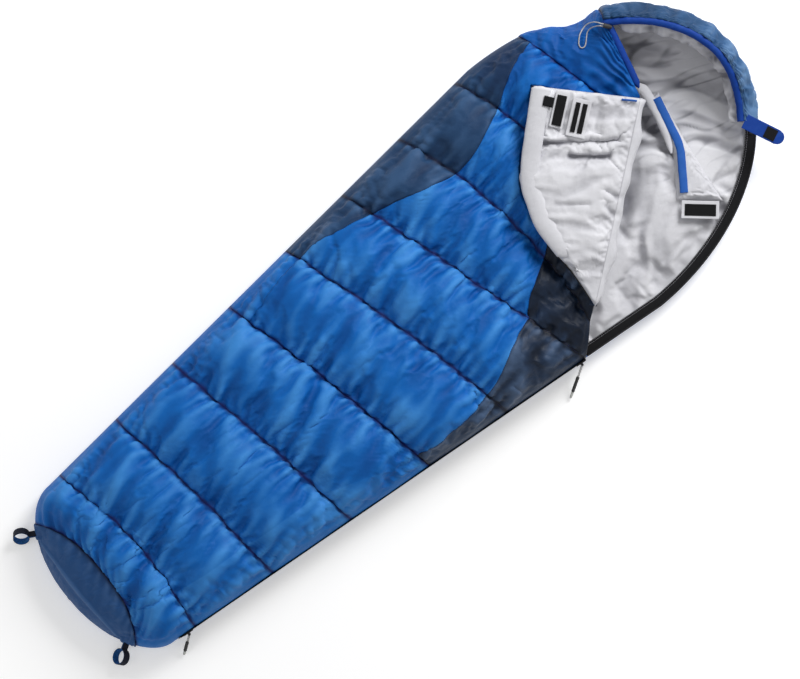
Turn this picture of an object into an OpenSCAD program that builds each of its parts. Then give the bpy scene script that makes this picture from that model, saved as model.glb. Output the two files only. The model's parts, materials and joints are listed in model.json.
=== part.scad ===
// Mummy sleeping bag, lying on its back with the chest flap folded open.
// A flat quilted underside, a quilted upper wall sewn in channels, a foot panel, a hood with a
// drawcord hem, a two-way side zip, a neck collar and a flap that turns about its fold line.
// The bag's own plan has y = 0 at the foot line, y = bag_length at the crown, +x on the zip side. The
// rounded foot stands out beyond the foot line.

/* [Bag outline] */
// Length from the foot line to the crown of the hood
bag_length = 2150; // [2100:10:2250]
// Width across the shoulders
shoulder_width = 780; // [740:10:820]
// Width across the foot
foot_width = 510; // [480:10:560]
// Distance from the crown of the hood back to the widest point
hood_round = 550; // [520:10:580]
// Distance from the foot line up to where the rounded foot begins
foot_round = 100; // [90:1:105]
// How far the rounded foot stands out beyond the foot line
foot_bulge = 45; // [40:1:50]

/* [Layers] */
// Thickness of the quilted underside
base_thickness = 35; // [30:1:42]
// Thickness of the quilted upper wall
wall = 30; // [26:1:34]
// Thickness of the shell and lining cloth, thick enough to stand as a solid
skin = 1.6; // [1.2:0.1:2]
// Gap between pieces that lie on each other
seat = 0.3; // [0.2:0.05:0.4]

/* [Loft] */
// Height of the seams over the legs
leg_height = 138; // [125:1:150]
// Height of the seams over the chest
chest_height = 116; // [108:1:120]
// Height of the seam at the foot panel
foot_height = 122; // [110:1:130]
// Rise of each channel above its seams
puff = 22; // [12:1:26]
// Reach of the rounded side walls
side_round = 130; // [110:5:150]
// Height of the hood hem at the crown
hood_height = 165; // [150:1:180]

/* [Zip] */
// Distance from the foot line to the lower end of the zip
zip_start = 123; // [118:1:140]
// Distance from the foot line to the top of the zipped part
zip_top = 1362; // [1340:1:1390]
// Height of the slot between underside and upper wall that the zip closes
zip_slot = 27; // [26:1:32]
// Radius of each zip coil
coil_radius = 1.6; // [1.4:0.1:1.8]
// Thickness of the zip tape
tape = 0.8; // [0.6:0.1:1]
// Width of the flat zip band on the open edge
band_width = 30; // [24:1:34]
// Length of a slider body
slider_length = 28; // [24:1:34]
// Wall of a slider body
slider_wall = 1.8; // [1.5:0.1:2]
// Length of the main pull, from its pin to its tip
main_pull_length = 100; // [90:1:110]
// Length of the foot pull, from its pin to its tip
foot_pull_length = 74; // [70:1:82]

/* [Flap] */
// Where the fold line ends at the neck, measured across from the middle
fold_end_x = -56; // [-70:1:-45]
// Where the fold line ends at the neck, measured down from the crown
fold_end_drop = 261; // [250:1:275]
// Reach of the flap from its fold line to its zip edge
flap_reach = 272; // [260:1:280]
// Width of the soft tube along the zip edge of the flap
flap_tube_width = 40; // [30:1:46]

/* [Hood and neck] */
// Distance of the hood hem inside the outline
hem_inset = 40; // [38:1:46]
// Outer radius of the hood hem
hem_radius = 7.5; // [6:0.5:8]
// Diameter of the drawcord
cord_diameter = 3; // [2.5:0.1:3.4]
// Thickness of the neck collar
collar_thickness = 18; // [14:1:20]
// Width of the hook tab on the collar
collar_tab_width = 46; // [40:1:50]
// Length of the closure tab at the top of the zip
closure_length = 110; // [100:1:116]
// Width of the closure tab
closure_width = 38; // [34:1:42]

/* [Foot loops] */
// Radius of the eye of a foot loop
eye_radius = 19; // [17:0.5:20]
// Width of the webbing of a foot loop
webbing_width = 20; // [16:1:21]
// Thickness of the webbing of a foot loop
webbing = 2; // [1.6:0.1:2.4]
// How far a foot loop stands out from the foot
loop_reach = 62; // [58:1:70]

/* [Hidden] */

// Colours, as the cloth and fittings look
blue = [0.10, 0.37, 0.75];
slate = [0.22, 0.31, 0.43];
grey = [0.80, 0.80, 0.83];
white = [0.93, 0.93, 0.94];
black = [0.07, 0.07, 0.09];
batt = [0.95, 0.94, 0.90];
pale = [0.75, 0.76, 0.74];

// Small helpers
function lerp(a, b, t) = a + (b - a) * t;
function clamp01(t) = max(0, min(1, t));
function smooth(t) = let (c = clamp01(t)) c * c * (3 - 2 * c);
function unit(v) = v / norm(v);
function flatten(rows) = [for (row = rows) each row];
// Value of a list at a place between its entries
function at(list, t) = let (i = max(0, min(len(list) - 2, floor(t)))) lerp(list[i], list[i + 1], t - i);
// Smooth curve through hand-chosen points, steps pieces between each two
function spline_point(p, i, t) =
    let (a = p[max(0, i - 1)], b = p[i], c = p[i + 1], d = p[min(len(p) - 1, i + 2)])
    0.5 * (2 * b + (c - a) * t + (2 * a - 5 * b + 4 * c - d) * t * t + (3 * b - a - 3 * c + d) * t * t * t);
function spline(p, steps) = [
    for (i = [0:len(p) - 2]) for (k = [0:steps - 1]) spline_point(p, i, k / steps),
    p[len(p) - 1]
];
// Rounded rise of a side wall: 0 at its foot, 1 from the reach inwards
function rise(d) = let (c = clamp01(d)) sqrt(1 - (1 - c) * (1 - c));

// Outline of the bag in plan
half_shoulder = shoulder_width / 2;
half_foot = foot_width / 2;
shoulder_station = bag_length - hood_round;
side_slope = (half_shoulder - half_foot) / (shoulder_station - foot_round);
zip_angle = atan(side_slope);
foot_depth = foot_round + foot_bulge;
function foot_x(y) = half_foot * sqrt(1 - pow((foot_round - y) / foot_depth, 2));
function foot_y(x) = foot_round - foot_depth * sqrt(1 - pow(min(1, abs(x) / half_foot), 2));
function side_x(y) = half_foot + side_slope * (y - foot_round);
function hood_x(y) = half_shoulder * sqrt(max(0, 1 - pow((y - shoulder_station) / hood_round, 2)));
function edge_x(y) = y < foot_round ? foot_x(y) : y < shoulder_station ? side_x(y) : hood_x(y);
// Point of the hood outline, counted in degrees from the left shoulder over the crown: an arc that is
// drawn in at the left of the neck
neck_dent = 22;
dent_angle = 31;
dent_half = 12;
function hood_arc(q) = [-half_shoulder * cos(q), shoulder_station + hood_round * sin(q)];
function hood_outward(q) = unit([-cos(q) / half_shoulder, sin(q) / hood_round]);
function neck_draw(q) = neck_dent * smooth(1 - abs(q - dent_angle) / dent_half);
function hood_point(q) = hood_arc(q) - neck_draw(q) * hood_outward(q);
foot_steps = 8;
hood_step = 6;
right_foot = [for (i = [0:foot_steps]) let (q = 90 * i / foot_steps)
    [half_foot * sin(q), foot_round - foot_depth * cos(q)]];
outline = concat(
    right_foot,
    [for (q = [180:-hood_step:0]) hood_point(q)],
    [for (i = [foot_steps:-1:1]) [-right_foot[i][0], right_foot[i][1]]]
);

// Fold line of the flap, in plan: a runs along it from the slider, b across it
fold_inset = 12;
fold_start = [edge_x(zip_top) - fold_inset, zip_top];
fold_end = [fold_end_x, bag_length - fold_end_drop];
fold_length = norm(fold_end - fold_start);
fold_dir = unit(fold_end - fold_start);
fold_right = [fold_dir[1], -fold_dir[0]];
fold_angle = atan2(fold_dir[1], fold_dir[0]);
fold_setback = 3;
// The fold lies just over the channels, and the zip end of the hood lies under the closed flap
fold_clear = 2;
fold_height = chest_height + puff + fold_clear;
hood_end_drop = 10;
hood_end_height = fold_height - wall - hood_end_drop;
function fold_point(share) = fold_start + fold_dir * fold_length * share;
zip_dir = unit([side_slope, 1]);
// Sine of the angle between the fold line and the zip
fold_spread = zip_dir[0] * fold_dir[1] - zip_dir[1] * fold_dir[0];

// Seams across the upper half, counted from the foot panel (0) to the neck (last)
channels = 9;
first_left = 142;
first_right = 165;
foot_seam = 12;
neck_drop = 395;
neck_left = bag_length - neck_drop;
zip_seams = 6;
fold_seams = [0.13, 0.57, 0.90];
seam_bow = [68, 40, 15, 10, 12, 14, 4, 45, 15, 0];
foot_bow_power = 3;
left_width = [100, 100, 100, 100, 70, 45, 96, 166, 126, 40];
right_width = [100, 100, 100, 100, 45, 74, 181, 200, 140, 40];
function left_y(k) = k == 0 ? foot_seam : lerp(first_left, neck_left, (k - 1) / (channels - 1));
function right_y(k) = k == 0 ? foot_seam : lerp(first_right, zip_top, (k - 1) / (zip_seams - 1));
function seam_right(k) = k <= zip_seams ? [edge_x(right_y(k)), right_y(k)]
    : fold_point(fold_seams[k - zip_seams - 1]) - fold_right * fold_setback;
left_stations = [for (k = [0:channels]) left_y(k)];
right_stations = [for (k = [0:zip_seams]) right_y(k)];
right_points = [for (k = [0:channels]) seam_right(k)];
// Distance from the right end of a row to the zip edge: more than none only along the fold line
fold_offset = [for (k = [0:channels])
    k <= zip_seams ? 0 : fold_seams[k - zip_seams - 1] * fold_length * fold_spread];
fold_cut = [for (k = [0:channels]) k <= zip_seams ? wall : 8];

function row_left(r) = let (y = at(left_stations, r)) [-edge_x(y), y];
function row_right(r) = r > zip_seams ? at(right_points, r)
    : let (y = at(right_stations, r)) [edge_x(y), y];
function row_width(r) = norm(row_right(r) - row_left(r));
function seam_height(r) = lerp(
    lerp(foot_height, leg_height, smooth(r)),
    chest_height, smooth((r - 5) / 2));
function row_puff(r) = puff * sin(180 * (r - floor(r)));
function row_height(r) = seam_height(r) + row_puff(r);

// Columns across a row: four in each side band and eight between them
side_columns = 4;
mid_columns = 8;
columns = mid_columns + 2 * side_columns;
column_power = 1.5;
function row_place(r, c) = let (w = row_width(r), l = at(left_width, r), k = at(right_width, r))
    c <= side_columns ? l * pow(c / side_columns, column_power)
    : c <= columns - side_columns ? lerp(l, w - k, (c - side_columns) / mid_columns)
    : w - k * pow((columns - c) / side_columns, column_power);
// Seams bow towards the hood, the one at the foot panel with a flatter middle
function bow(r, u) = at(seam_bow, r) * (1 - pow(abs(2 * u - 1), lerp(foot_bow_power, 2, clamp01(r))));
function row_plan(r, s) = let (u = s / row_width(r))
    lerp(row_left(r), row_right(r), u) + [0, bow(r, u)];
// The zip slot opens from nothing at the foot panel to its full height below the zip
slot_opens = 0.5;
function slot_height(r) = zip_slot * smooth(r / slot_opens);
// Height over the plan: d_left and d_right are the distances from the two side edges
function loft(r, d_left, d_right, reach, top) = let (
    left = rise(d_left / reach),
    right = rise(d_right / reach),
    foot = left < right ? base_thickness : base_thickness + slot_height(r))
    lerp(foot, top, min(left, right));
// A point of the upper wall: row r, column c, depth f from the outer face (0) to the inner (1)
function top_outer(r, c) = let (s = row_place(r, c), p = row_plan(r, s))
    [p[0], p[1], loft(r, s, row_width(r) - s + at(fold_offset, r), side_round, row_height(r))];
function top_inner(r, c) = let (
    w = row_width(r),
    cut = at(fold_cut, r),
    s = wall + row_place(r, c) * (w - wall - cut) / w,
    p = row_plan(r, s))
    [p[0], p[1], loft(r, s - wall, w - s - cut + at(fold_offset, r), side_round - wall, row_height(r) - wall)];
function top_point(r, c, f) = lerp(top_outer(r, c), top_inner(r, c), f);

// Depths of the three layers
shell_inside = skin / wall;
fill_outside = (skin + seat) / wall;
fill_inside = 1 - fill_outside;
lining_outside = 1 - shell_inside;

// A closed solid between two grids of points that share their rows and columns
module quilt(outer, inner) {
    n = len(outer);
    m = len(outer[0]);
    function o(i, j) = i * m + j;
    function k(i, j) = n * m + i * m + j;
    function pair(a, b, c, d) = [[a, b, c], [a, c, d]];
    polyhedron(
        points = concat(flatten(outer), flatten(inner)),
        faces = concat(
            [for (i = [0:n - 2]) for (j = [0:m - 2]) each concat(
                pair(o(i, j), o(i + 1, j), o(i + 1, j + 1), o(i, j + 1)),
                [[k(i, j), k(i + 1, j + 1), k(i + 1, j)], [k(i, j), k(i, j + 1), k(i + 1, j + 1)]])],
            [for (i = [0:n - 2]) each concat(
                pair(o(i + 1, 0), o(i, 0), k(i, 0), k(i + 1, 0)),
                pair(o(i, m - 1), o(i + 1, m - 1), k(i + 1, m - 1), k(i, m - 1)))],
            [for (j = [0:m - 2]) each concat(
                pair(o(0, j), o(0, j + 1), k(0, j + 1), k(0, j)),
                pair(o(n - 1, j), k(n - 1, j), k(n - 1, j + 1), o(n - 1, j + 1)))]));
}

// Rows and columns of one panel of the upper wall, held a hair inside its seams
row_steps = 4;
row_gap = 0.001;
column_gap = 0.006;
function panel_rows(first, last) = [for (i = [0:(last - first) * row_steps])
    let (r = first + i / row_steps) max(first + row_gap, min(last - row_gap, r))];
function panel_columns(first, last) = [for (c = [first:last])
    max(first == 0 ? 0 : first + column_gap, min(last == columns ? columns : last - column_gap, c))];
module top_panel(rows, cols, outside, inside) {
    quilt(
        [for (r = rows) [for (c = cols) top_point(r, c, outside)]],
        [for (r = rows) [for (c = cols) top_point(r, c, inside)]]);
}

// Foot panel: from the foot outline up to the first seam
foot_panel_half = 150;
foot_panel_steps = 4;
foot_panel_gap = 0.01;
function foot_row(w, c, inset, high) = let (
    u = row_place(0, c) / row_width(0),
    half = lerp(foot_panel_half, edge_x(foot_seam), w),
    x = lerp(-half, half, u) * (half - inset) / half,
    low = foot_y(lerp(-foot_panel_half, foot_panel_half, u)) + inset)
    [lerp(x, high[0], w * w), lerp(low, high[1], w), lerp(base_thickness, high[2], sin(90 * w))];
function foot_point(w, c, f) = lerp(
    foot_row(w, c, 0, top_outer(0, c)), foot_row(w, c, wall, top_inner(0, c)), f);
module foot_panel(outside, inside) {
    steps = [for (i = [0:foot_panel_steps]) min(i / foot_panel_steps, 1 - foot_panel_gap)];
    quilt(
        [for (w = steps) [for (c = [0:columns]) foot_point(w, c, outside)]],
        [for (w = steps) [for (c = [0:columns]) foot_point(w, c, inside)]]);
}

// Hood: sections from the outline to the hem, counted in degrees over the crown
neck_angle = asin((neck_left - shoulder_station) / hood_round);
fold_end_angle = neck_angle + 7;
crown_angle = 40;
hood_end_angle = 118;
hood_columns = 6;
hood_section_step = 6;
hem_wall = 16;
function hem_point(q) =
    q < fold_end_angle ? lerp(right_points[channels], fold_end - fold_right * fold_setback,
        (q - neck_angle) / (fold_end_angle - neck_angle))
    : q < crown_angle ? lerp(fold_end - fold_right * fold_setback,
        hood_arc(crown_angle) - hem_inset * hood_outward(crown_angle),
        (q - fold_end_angle) / (crown_angle - fold_end_angle))
    : hood_arc(q) - hem_inset * hood_outward(q);
hem_rise_angle = 50;
hem_crown_angle = 85;
function hem_height(q) = q < hem_crown_angle
    ? lerp(chest_height, hood_height, smooth((q - neck_angle) / (hem_rise_angle - neck_angle)))
    : lerp(hood_height, hood_end_height, smooth((q - hem_crown_angle) / (hood_end_angle - hem_crown_angle)));
function hem_depth(q) = lerp(wall, hem_wall, smooth((q - neck_angle) / (crown_angle - neck_angle)));
function hood_outer(q, w) = let (
    p = hood_point(q),
    reach = norm(hem_point(q) - p),
    s = reach * pow(w, column_power),
    plan = p + s * unit(hem_point(q) - p))
    [plan[0], plan[1], lerp(base_thickness, hem_height(q), rise(s / min(side_round, reach)))];
function hood_inner(q, w) = let (
    p = hood_point(q),
    reach = norm(hem_point(q) - p),
    s = wall + (reach - wall) * pow(w, column_power),
    plan = p + s * unit(hem_point(q) - p))
    [plan[0], plan[1], lerp(base_thickness, hem_height(q) - hem_depth(q),
        rise((s - wall) / (min(side_round, reach) - wall)))];
function hood_angles(first, last) = let (count = ceil((last - first) / hood_section_step))
    [for (i = [0:count]) lerp(first, last, i / count)];
function hood_grid(first, last, f) = [for (q = hood_angles(first, last))
    [for (j = [0:hood_columns]) lerp(hood_outer(q, j / hood_columns), hood_inner(q, j / hood_columns), f)]];
hood_gap = 0.03;
module hood_panel(first, last, outside, inside) {
    quilt(hood_grid(first, last, outside), hood_grid(first, last, inside));
}

// Tube swept along points: half width across the path, half height along z
module tube(path, half_width, half_height, sides) {
    n = len(path);
    function tangent(i) = unit(path[min(n - 1, i + 1)] - path[max(0, i - 1)]);
    function across(i) = unit(cross([0, 0, 1], tangent(i)));
    ring = [for (i = [0:n - 1]) let (a = across(i), b = cross(tangent(i), a))
        [for (k = [0:sides - 1]) path[i] + half_width * cos(360 * k / sides) * a
            + half_height * sin(360 * k / sides) * b]];
    polyhedron(
        points = flatten(ring),
        faces = concat(
            [[for (k = [0:sides - 1]) k]],
            [[for (k = [sides - 1:-1:0]) (n - 1) * sides + k]],
            [for (i = [0:n - 2]) for (k = [0:sides - 1]) let (l = (k + 1) % sides)
                each [[i * sides + k, (i + 1) * sides + k, (i + 1) * sides + l],
                    [i * sides + k, (i + 1) * sides + l, i * sides + l]]]));
}

// Zip section, in the frame of the zip edge: X outwards, Y up the zip, Z up
run = 0.5;
coil_way = 3;
slot_middle = base_thickness + zip_slot / 2;
tape_middle = seat + tape / 2;
zip_length = (zip_top - zip_start) / zip_dir[1];
chain_half = coil_way / 2 + 2 * coil_radius;
slider_outside = tape_middle + coil_radius + run + slider_wall;
slider_inside = tape_middle - coil_radius - run - slider_wall;
slider_half_height = chain_half + run + slider_wall;
pin_radius = 1.2;
eye_outer = 3.2;
pin_x = slider_outside + eye_outer + run;
foot_slider_y = slider_length / 2 + 1;
main_slider_y = zip_length - slider_length / 2;
pull_angle = -52;
pull_tip_height = 6;
grip_radius = 4.5;
function pull_tilt(length) = asin((slot_middle - pull_tip_height) / length);

// Foot loops at the corners of the foot: webbing bent to a round eye on a doubled stem,
// and rolled over, so that the face of the webbing shows
loop_angle = 45;
loop_roll = 42;
loop_height = 23.5;
loop_x = half_foot * sin(loop_angle);
loop_y = foot_round - foot_depth * cos(loop_angle);
loop_splay = atan2(foot_depth * sin(loop_angle), half_foot * cos(loop_angle));
loop_outer = eye_radius + webbing;
loop_stem = loop_reach - seat - 2 * loop_outer;
// How far the rolled eye reaches from its middle towards the foot
loop_lean = sin(loop_roll) * sin(loop_splay);
loop_drop = loop_outer * sqrt(1 - loop_lean * loop_lean) + webbing_width / 2 * loop_lean;

// Frames: the whole bag, the zip edge, the flap
main_tip_x = edge_x(zip_top) + pin_x
    + main_pull_length * cos(pull_tilt(main_pull_length)) * cos(pull_angle - zip_angle) + grip_radius;
x_low = -half_shoulder;
x_high = max(half_shoulder, main_tip_x);
y_low = loop_y - (loop_reach - loop_outer) * cos(loop_splay) - loop_drop;
module bag() {
    translate([-(x_low + x_high) / 2, -(y_low + bag_length) / 2, 0]) children();
}
module zip_edge() {
    bag() translate([edge_x(zip_start), zip_start, 0]) rotate(-zip_angle) children();
}
module flap_frame() {
    bag() translate([fold_start[0], fold_start[1], fold_height]) rotate(fold_angle) children();
}

// Underside
module base_layer(low, high) {
    bag() translate([0, 0, low]) linear_extrude(high - low) polygon(outline);
}
module base_shell() color(blue) base_layer(0, skin);
module base_fill() color(batt) base_layer(skin, base_thickness - skin);
module base_lining() color(grey) base_layer(base_thickness - skin, base_thickness);

// Foot panel
module foot_panel_shell() color(slate) bag() foot_panel(0, shell_inside);
module foot_panel_fill() color(batt) bag() foot_panel(fill_outside, fill_inside);
module foot_panel_lining() color(grey) bag() foot_panel(lining_outside, 1);

// Upper wall: blue legs and chest, slate side panels from the fifth seam to the neck
side_seam = 4;
leg_rows = panel_rows(0, side_seam);
chest_rows = panel_rows(side_seam, channels);
all_rows = panel_rows(0, channels);
all_columns = panel_columns(0, columns);
module leg_shell() color(blue) bag() top_panel(leg_rows, all_columns, 0, shell_inside);
module chest_shell() color(blue) bag()
    top_panel(chest_rows, panel_columns(side_columns, columns - side_columns), 0, shell_inside);
module left_side_shell() color(slate) bag()
    top_panel(chest_rows, panel_columns(0, side_columns), 0, shell_inside);
module right_side_shell() color(slate) bag()
    top_panel(chest_rows, panel_columns(columns - side_columns, columns), 0, shell_inside);
module top_fill() color(batt) bag() top_panel(all_rows, all_columns, fill_outside, fill_inside);
module top_lining() color(grey) bag() top_panel(all_rows, all_columns, lining_outside, 1);

// Hood: blue cheek from the neck seam to the crown panel, slate crown from there to the zip
module hood_cheek_shell() color(blue) bag()
    hood_panel(neck_angle + hood_gap, crown_angle - hood_gap, 0, shell_inside);
module hood_crown_shell() color(slate) bag()
    hood_panel(crown_angle + hood_gap, hood_end_angle, 0, shell_inside);
module hood_fill() color(batt) bag() {
    hood_panel(neck_angle + hood_gap, crown_angle - hood_gap, fill_outside, fill_inside);
    hood_panel(crown_angle + hood_gap, hood_end_angle, fill_outside, fill_inside);
}
module hood_lining() color(grey) bag() {
    hood_panel(neck_angle + hood_gap, crown_angle - hood_gap, lining_outside, 1);
    hood_panel(crown_angle + hood_gap, hood_end_angle, lining_outside, 1);
}

// Hood hem: a hollow tube inside the free edge of the hood, with the drawcord in it
hem_first = fold_end_angle + 2;
hem_bore = hem_radius - 2;
hem_reach = hem_radius + seat;
cheek_line = unit(hem_point(crown_angle) - hem_point(fold_end_angle));
cheek_inward = [cheek_line[1], -cheek_line[0]];
corner_inward = unit(cheek_inward - hood_outward(crown_angle));
corner_reach = hem_reach / (corner_inward * cheek_inward);
corner_near = 1;
function hem_plan(q) = hem_point(q) + (
    q < crown_angle - corner_near ? hem_reach * cheek_inward
    : q < crown_angle + corner_near ? corner_reach * corner_inward
    : -hem_reach * hood_outward(q));
hem_angles = concat(
    [for (q = hood_angles(neck_angle, crown_angle)) if (q > hem_first && q < crown_angle) q],
    hood_angles(crown_angle, hood_end_angle));
hem_path = [for (q = hem_angles) [each hem_plan(q), hem_height(q) - hem_radius]];
module hood_hem() color(blue) bag() difference() {
    tube(hem_path, hem_radius, hem_radius, 10);
    tube(hem_path, hem_bore, hem_bore, 10);
}
module hood_drawcord() color(white) bag() tube(hem_path, cord_diameter / 2, cord_diameter / 2, 8);

// Cord lock on the hem, with its sprung plunger, and the free loop of drawcord that leaves it
lock_angle = 38.5;
lock_radius = 6;
lock_length = 16;
lock_bore = 4.8;
lock_bore_depth = 11;
plunger_radius = lock_bore - seat;
plunger_length = 13;
plunger_out = 6;
lock_turn = 217;
lock_at = [each hem_point(lock_angle), hem_height(lock_angle) + lock_radius + seat];
module lock_frame() {
    bag() translate(lock_at) rotate(lock_turn) rotate([0, 90, 0]) children();
}
module cord_lock_body() color(black) lock_frame() difference() {
    translate([0, 0, -lock_length / 2]) cylinder(r = lock_radius, h = lock_length, $fn = 48);
    translate([0, 0, -lock_length / 2]) cylinder(r = lock_bore, h = lock_bore_depth, $fn = 48);
}
module cord_lock_plunger() color(black) lock_frame() {
    translate([0, 0, -lock_length / 2 - plunger_out])
        cylinder(r = plunger_radius, h = plunger_length, $fn = 48);
}
// Route of the free loop, counted from the outer end face of the lock: along its axis, across it, up
tail_route = [
    [0, -3, 0], [6, -3, 0], [13, -4, -3], [20, -5, -11], [26, -5, -22], [31, -4, -34], [36, -2, -44],
    [41, 3, -49], [45, 11, -49], [48, 20, -45], [50, 30, -41], [50, 39, -38], [49, 48, -36], [47, 56, -35],
    [42, 62, -34], [35, 62, -32], [31, 56, -31], [31, 47, -32], [32, 38, -34], [33, 29, -37], [33, 21, -40],
    [31, 14, -39], [27, 9, -32], [21, 6, -20], [14, 4, -8], [7, 3, -1], [0, 3, 0]
];
lock_axis = [cos(lock_turn), sin(lock_turn), 0];
lock_across = [-lock_axis[1], lock_axis[0], 0];
tail_points = [for (p = tail_route)
    lock_at + (lock_length / 2 + p[0]) * lock_axis + p[1] * lock_across + [0, 0, p[2]]];
module drawcord_tail() color(white) bag() tube(tail_points, cord_diameter / 2, cord_diameter / 2, 8);

// Closed part of the zip: two tapes, two coils with a way for the slider's bridge between them
tape_sewn = 20;
stop_length = 6;
stop_depth = 2.4;
tape_tail = 10;
low_coil = slot_middle - coil_way / 2 - coil_radius;
high_coil = slot_middle + coil_way / 2 + coil_radius;
module zip_tape(low, high) {
    zip_edge() translate([seat, -tape_tail, low]) cube([tape, zip_length + tape_tail, high - low]);
}
module zip_coil(height) {
    zip_edge() translate([tape_middle, 0, height]) rotate([-90, 0, 0])
        cylinder(r = coil_radius, h = zip_length, $fn = 24);
}
module zip_base_tape() color(black) zip_tape(base_thickness - tape_sewn, low_coil - coil_radius);
module zip_top_tape() color(black)
    zip_tape(high_coil + coil_radius, base_thickness + zip_slot + tape_sewn);
module zip_base_coil() color(black) zip_coil(low_coil);
module zip_top_coil() color(black) zip_coil(high_coil);
module zip_bottom_stop() color(black) zip_edge()
    translate([seat + tape, -stop_length, slot_middle - slider_half_height])
        cube([stop_depth, stop_length, 2 * slider_half_height]);

// Draft tube: a soft roll behind the closed zip
draft_radius = zip_slot / 2 - seat;
draft_end = 20;
module draft_tube() color(grey) zip_edge()
    translate([slider_inside - run - draft_radius, 0, slot_middle]) rotate([-90, 0, 0])
        cylinder(r = draft_radius, h = zip_length - draft_end, $fn = 48);

// Open part of the zip: a flat band on the edge of the underside, with its coil and top stop
band_start = zip_top + 10;
band_end_angle = hood_end_angle + 1.5;
band_thickness = 2 * tape;
edge_out = [zip_dir[1], -zip_dir[0]];
band_angles = [for (q = [180:-hood_step:band_end_angle]) q, band_end_angle];
function band_line(inset) = concat(
    [[edge_x(band_start), band_start] - inset * edge_out],
    [for (q = band_angles) hood_point(q) - inset * hood_outward(q)]);
function reverse(list) = [for (i = [len(list) - 1:-1:0]) list[i]];
module zip_band() color(black) bag() translate([0, 0, base_thickness])
    linear_extrude(band_thickness) polygon(concat(band_line(seat), reverse(band_line(band_width))));
coil_height = base_thickness + band_thickness + seat + coil_radius;
module zip_band_coil() color(black) bag()
    tube([for (p = band_line(seat + 2 * coil_radius)) [p[0], p[1], coil_height]], coil_radius, coil_radius, 8);
top_stop_width = 8;
module zip_top_stop() color(black) bag()
    translate([each (hood_point(band_end_angle + 2) - band_width / 2 * hood_outward(band_end_angle + 2)),
        base_thickness + band_thickness])
        cylinder(d = top_stop_width, h = stop_depth, $fn = 32);

// Slider: two plates with flanges that leave a slot for the tape, a bridge between the plates, and
// two ears with a pin for the pull
bridge_length = 8;
ear = 1.6;
ear_half_height = 5.2;
module slider_plate(x) {
    translate([x, -slider_length / 2, -slider_half_height])
        cube([slider_wall, slider_length, 2 * slider_half_height]);
}
module slider_flange(x, depth, z) {
    translate([x, -slider_length / 2, z]) cube([depth, slider_length, slider_wall]);
}
module slider(y) {
    slot_half = tape / 2 + run;
    depth = slider_outside - tape_middle - slot_half;
    zip_edge() translate([0, y, slot_middle]) {
        slider_plate(slider_outside - slider_wall);
        slider_plate(slider_inside);
        for (z = [-slider_half_height, slider_half_height - slider_wall]) {
            slider_flange(tape_middle + slot_half, depth, z);
            slider_flange(slider_inside, depth, z);
        }
        translate([slider_inside, slider_length / 2 - bridge_length, -coil_way / 2 + run])
            cube([slider_outside - slider_inside, bridge_length, coil_way - 2 * run]);
        for (z = [-ear_half_height, ear_half_height - ear])
            translate([0, 0, z]) {
                translate([slider_outside - slider_wall, -eye_outer, 0])
                    cube([pin_x - slider_outside + slider_wall, 2 * eye_outer, ear]);
                translate([pin_x, 0, 0]) cylinder(r = eye_outer, h = ear, $fn = 32);
            }
        translate([pin_x, 0, -ear_half_height]) cylinder(r = pin_radius, h = 2 * ear_half_height, $fn = 32);
    }
}
module main_slider() color(black) slider(main_slider_y);
module foot_slider() color(black) slider(foot_slider_y);

// Pull: an eye on the slider's pin, two strands of cord, a ribbed grip and a pale end
strand_radius = 1.2;
strand_gap = 1.5;
strand_share = 0.36;
grip_share = 0.80;
tip_radius = 3.4;
grip_ribs = 5;
rib_depth = 0.7;
rib_start = 0.3;
rib_end = 0.7;
rib_groove = 0.01;
module pull_frame(y) {
    zip_edge() translate([pin_x, y, slot_middle]) rotate(pull_angle) children();
}
module pull_cord(y, length) {
    pull_frame(y) difference() {
        union() {
            translate([0, 0, -ear_half_height + ear + seat])
                cylinder(r = eye_outer, h = 2 * (ear_half_height - ear - seat), $fn = 32);
            rotate([0, pull_tilt(length), 0]) for (side = [-1, 1])
                translate([eye_outer - strand_radius, side * strand_gap, 0]) rotate([0, 90, 0])
                    cylinder(r = strand_radius, h = length * strand_share - eye_outer + strand_radius, $fn = 24);
        }
        translate([0, 0, -ear_half_height]) cylinder(r = pin_radius + seat, h = 2 * ear_half_height, $fn = 32);
    }
}
module pull_grip(y, length) {
    grip = length * (grip_share - strand_share);
    pitch = grip / grip_ribs;
    profile = concat(
        [[0, 0]],
        [for (i = [0:grip_ribs - 1]) each [
            [grip_radius - rib_depth, i * pitch],
            [grip_radius, (i + rib_start) * pitch],
            [grip_radius, (i + rib_end) * pitch],
            [grip_radius - rib_depth, (i + 1) * pitch - rib_groove]]],
        [[0, grip - rib_groove]]);
    pull_frame(y) rotate([0, pull_tilt(length), 0]) translate([length * strand_share, 0, 0]) rotate([0, 90, 0])
        rotate_extrude($fn = 32) polygon(profile);
}
module pull_tip(y, length) {
    tip = length * (1 - grip_share);
    pull_frame(y) rotate([0, pull_tilt(length), 0]) translate([length * grip_share, 0, 0]) rotate([0, 90, 0])
        rotate_extrude($fn = 32) intersection() {
            translate([0, tip - tip_radius]) union() {
                circle(r = tip_radius, $fn = 48);
                translate([0, -tip]) square([tip_radius, tip]);
            }
            square([tip_radius, tip]);
        }
}
module main_pull_cord() color(pale) pull_cord(main_slider_y, main_pull_length);
module main_pull_grip() color(black) pull_grip(main_slider_y, main_pull_length);
module main_pull_tip() color(pale) pull_tip(main_slider_y, main_pull_length);
module foot_pull_cord() color(pale) pull_cord(foot_slider_y, foot_pull_length);
module foot_pull_grip() color(black) pull_grip(foot_slider_y, foot_pull_length);
module foot_pull_tip() color(pale) pull_tip(foot_slider_y, foot_pull_length);

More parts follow.
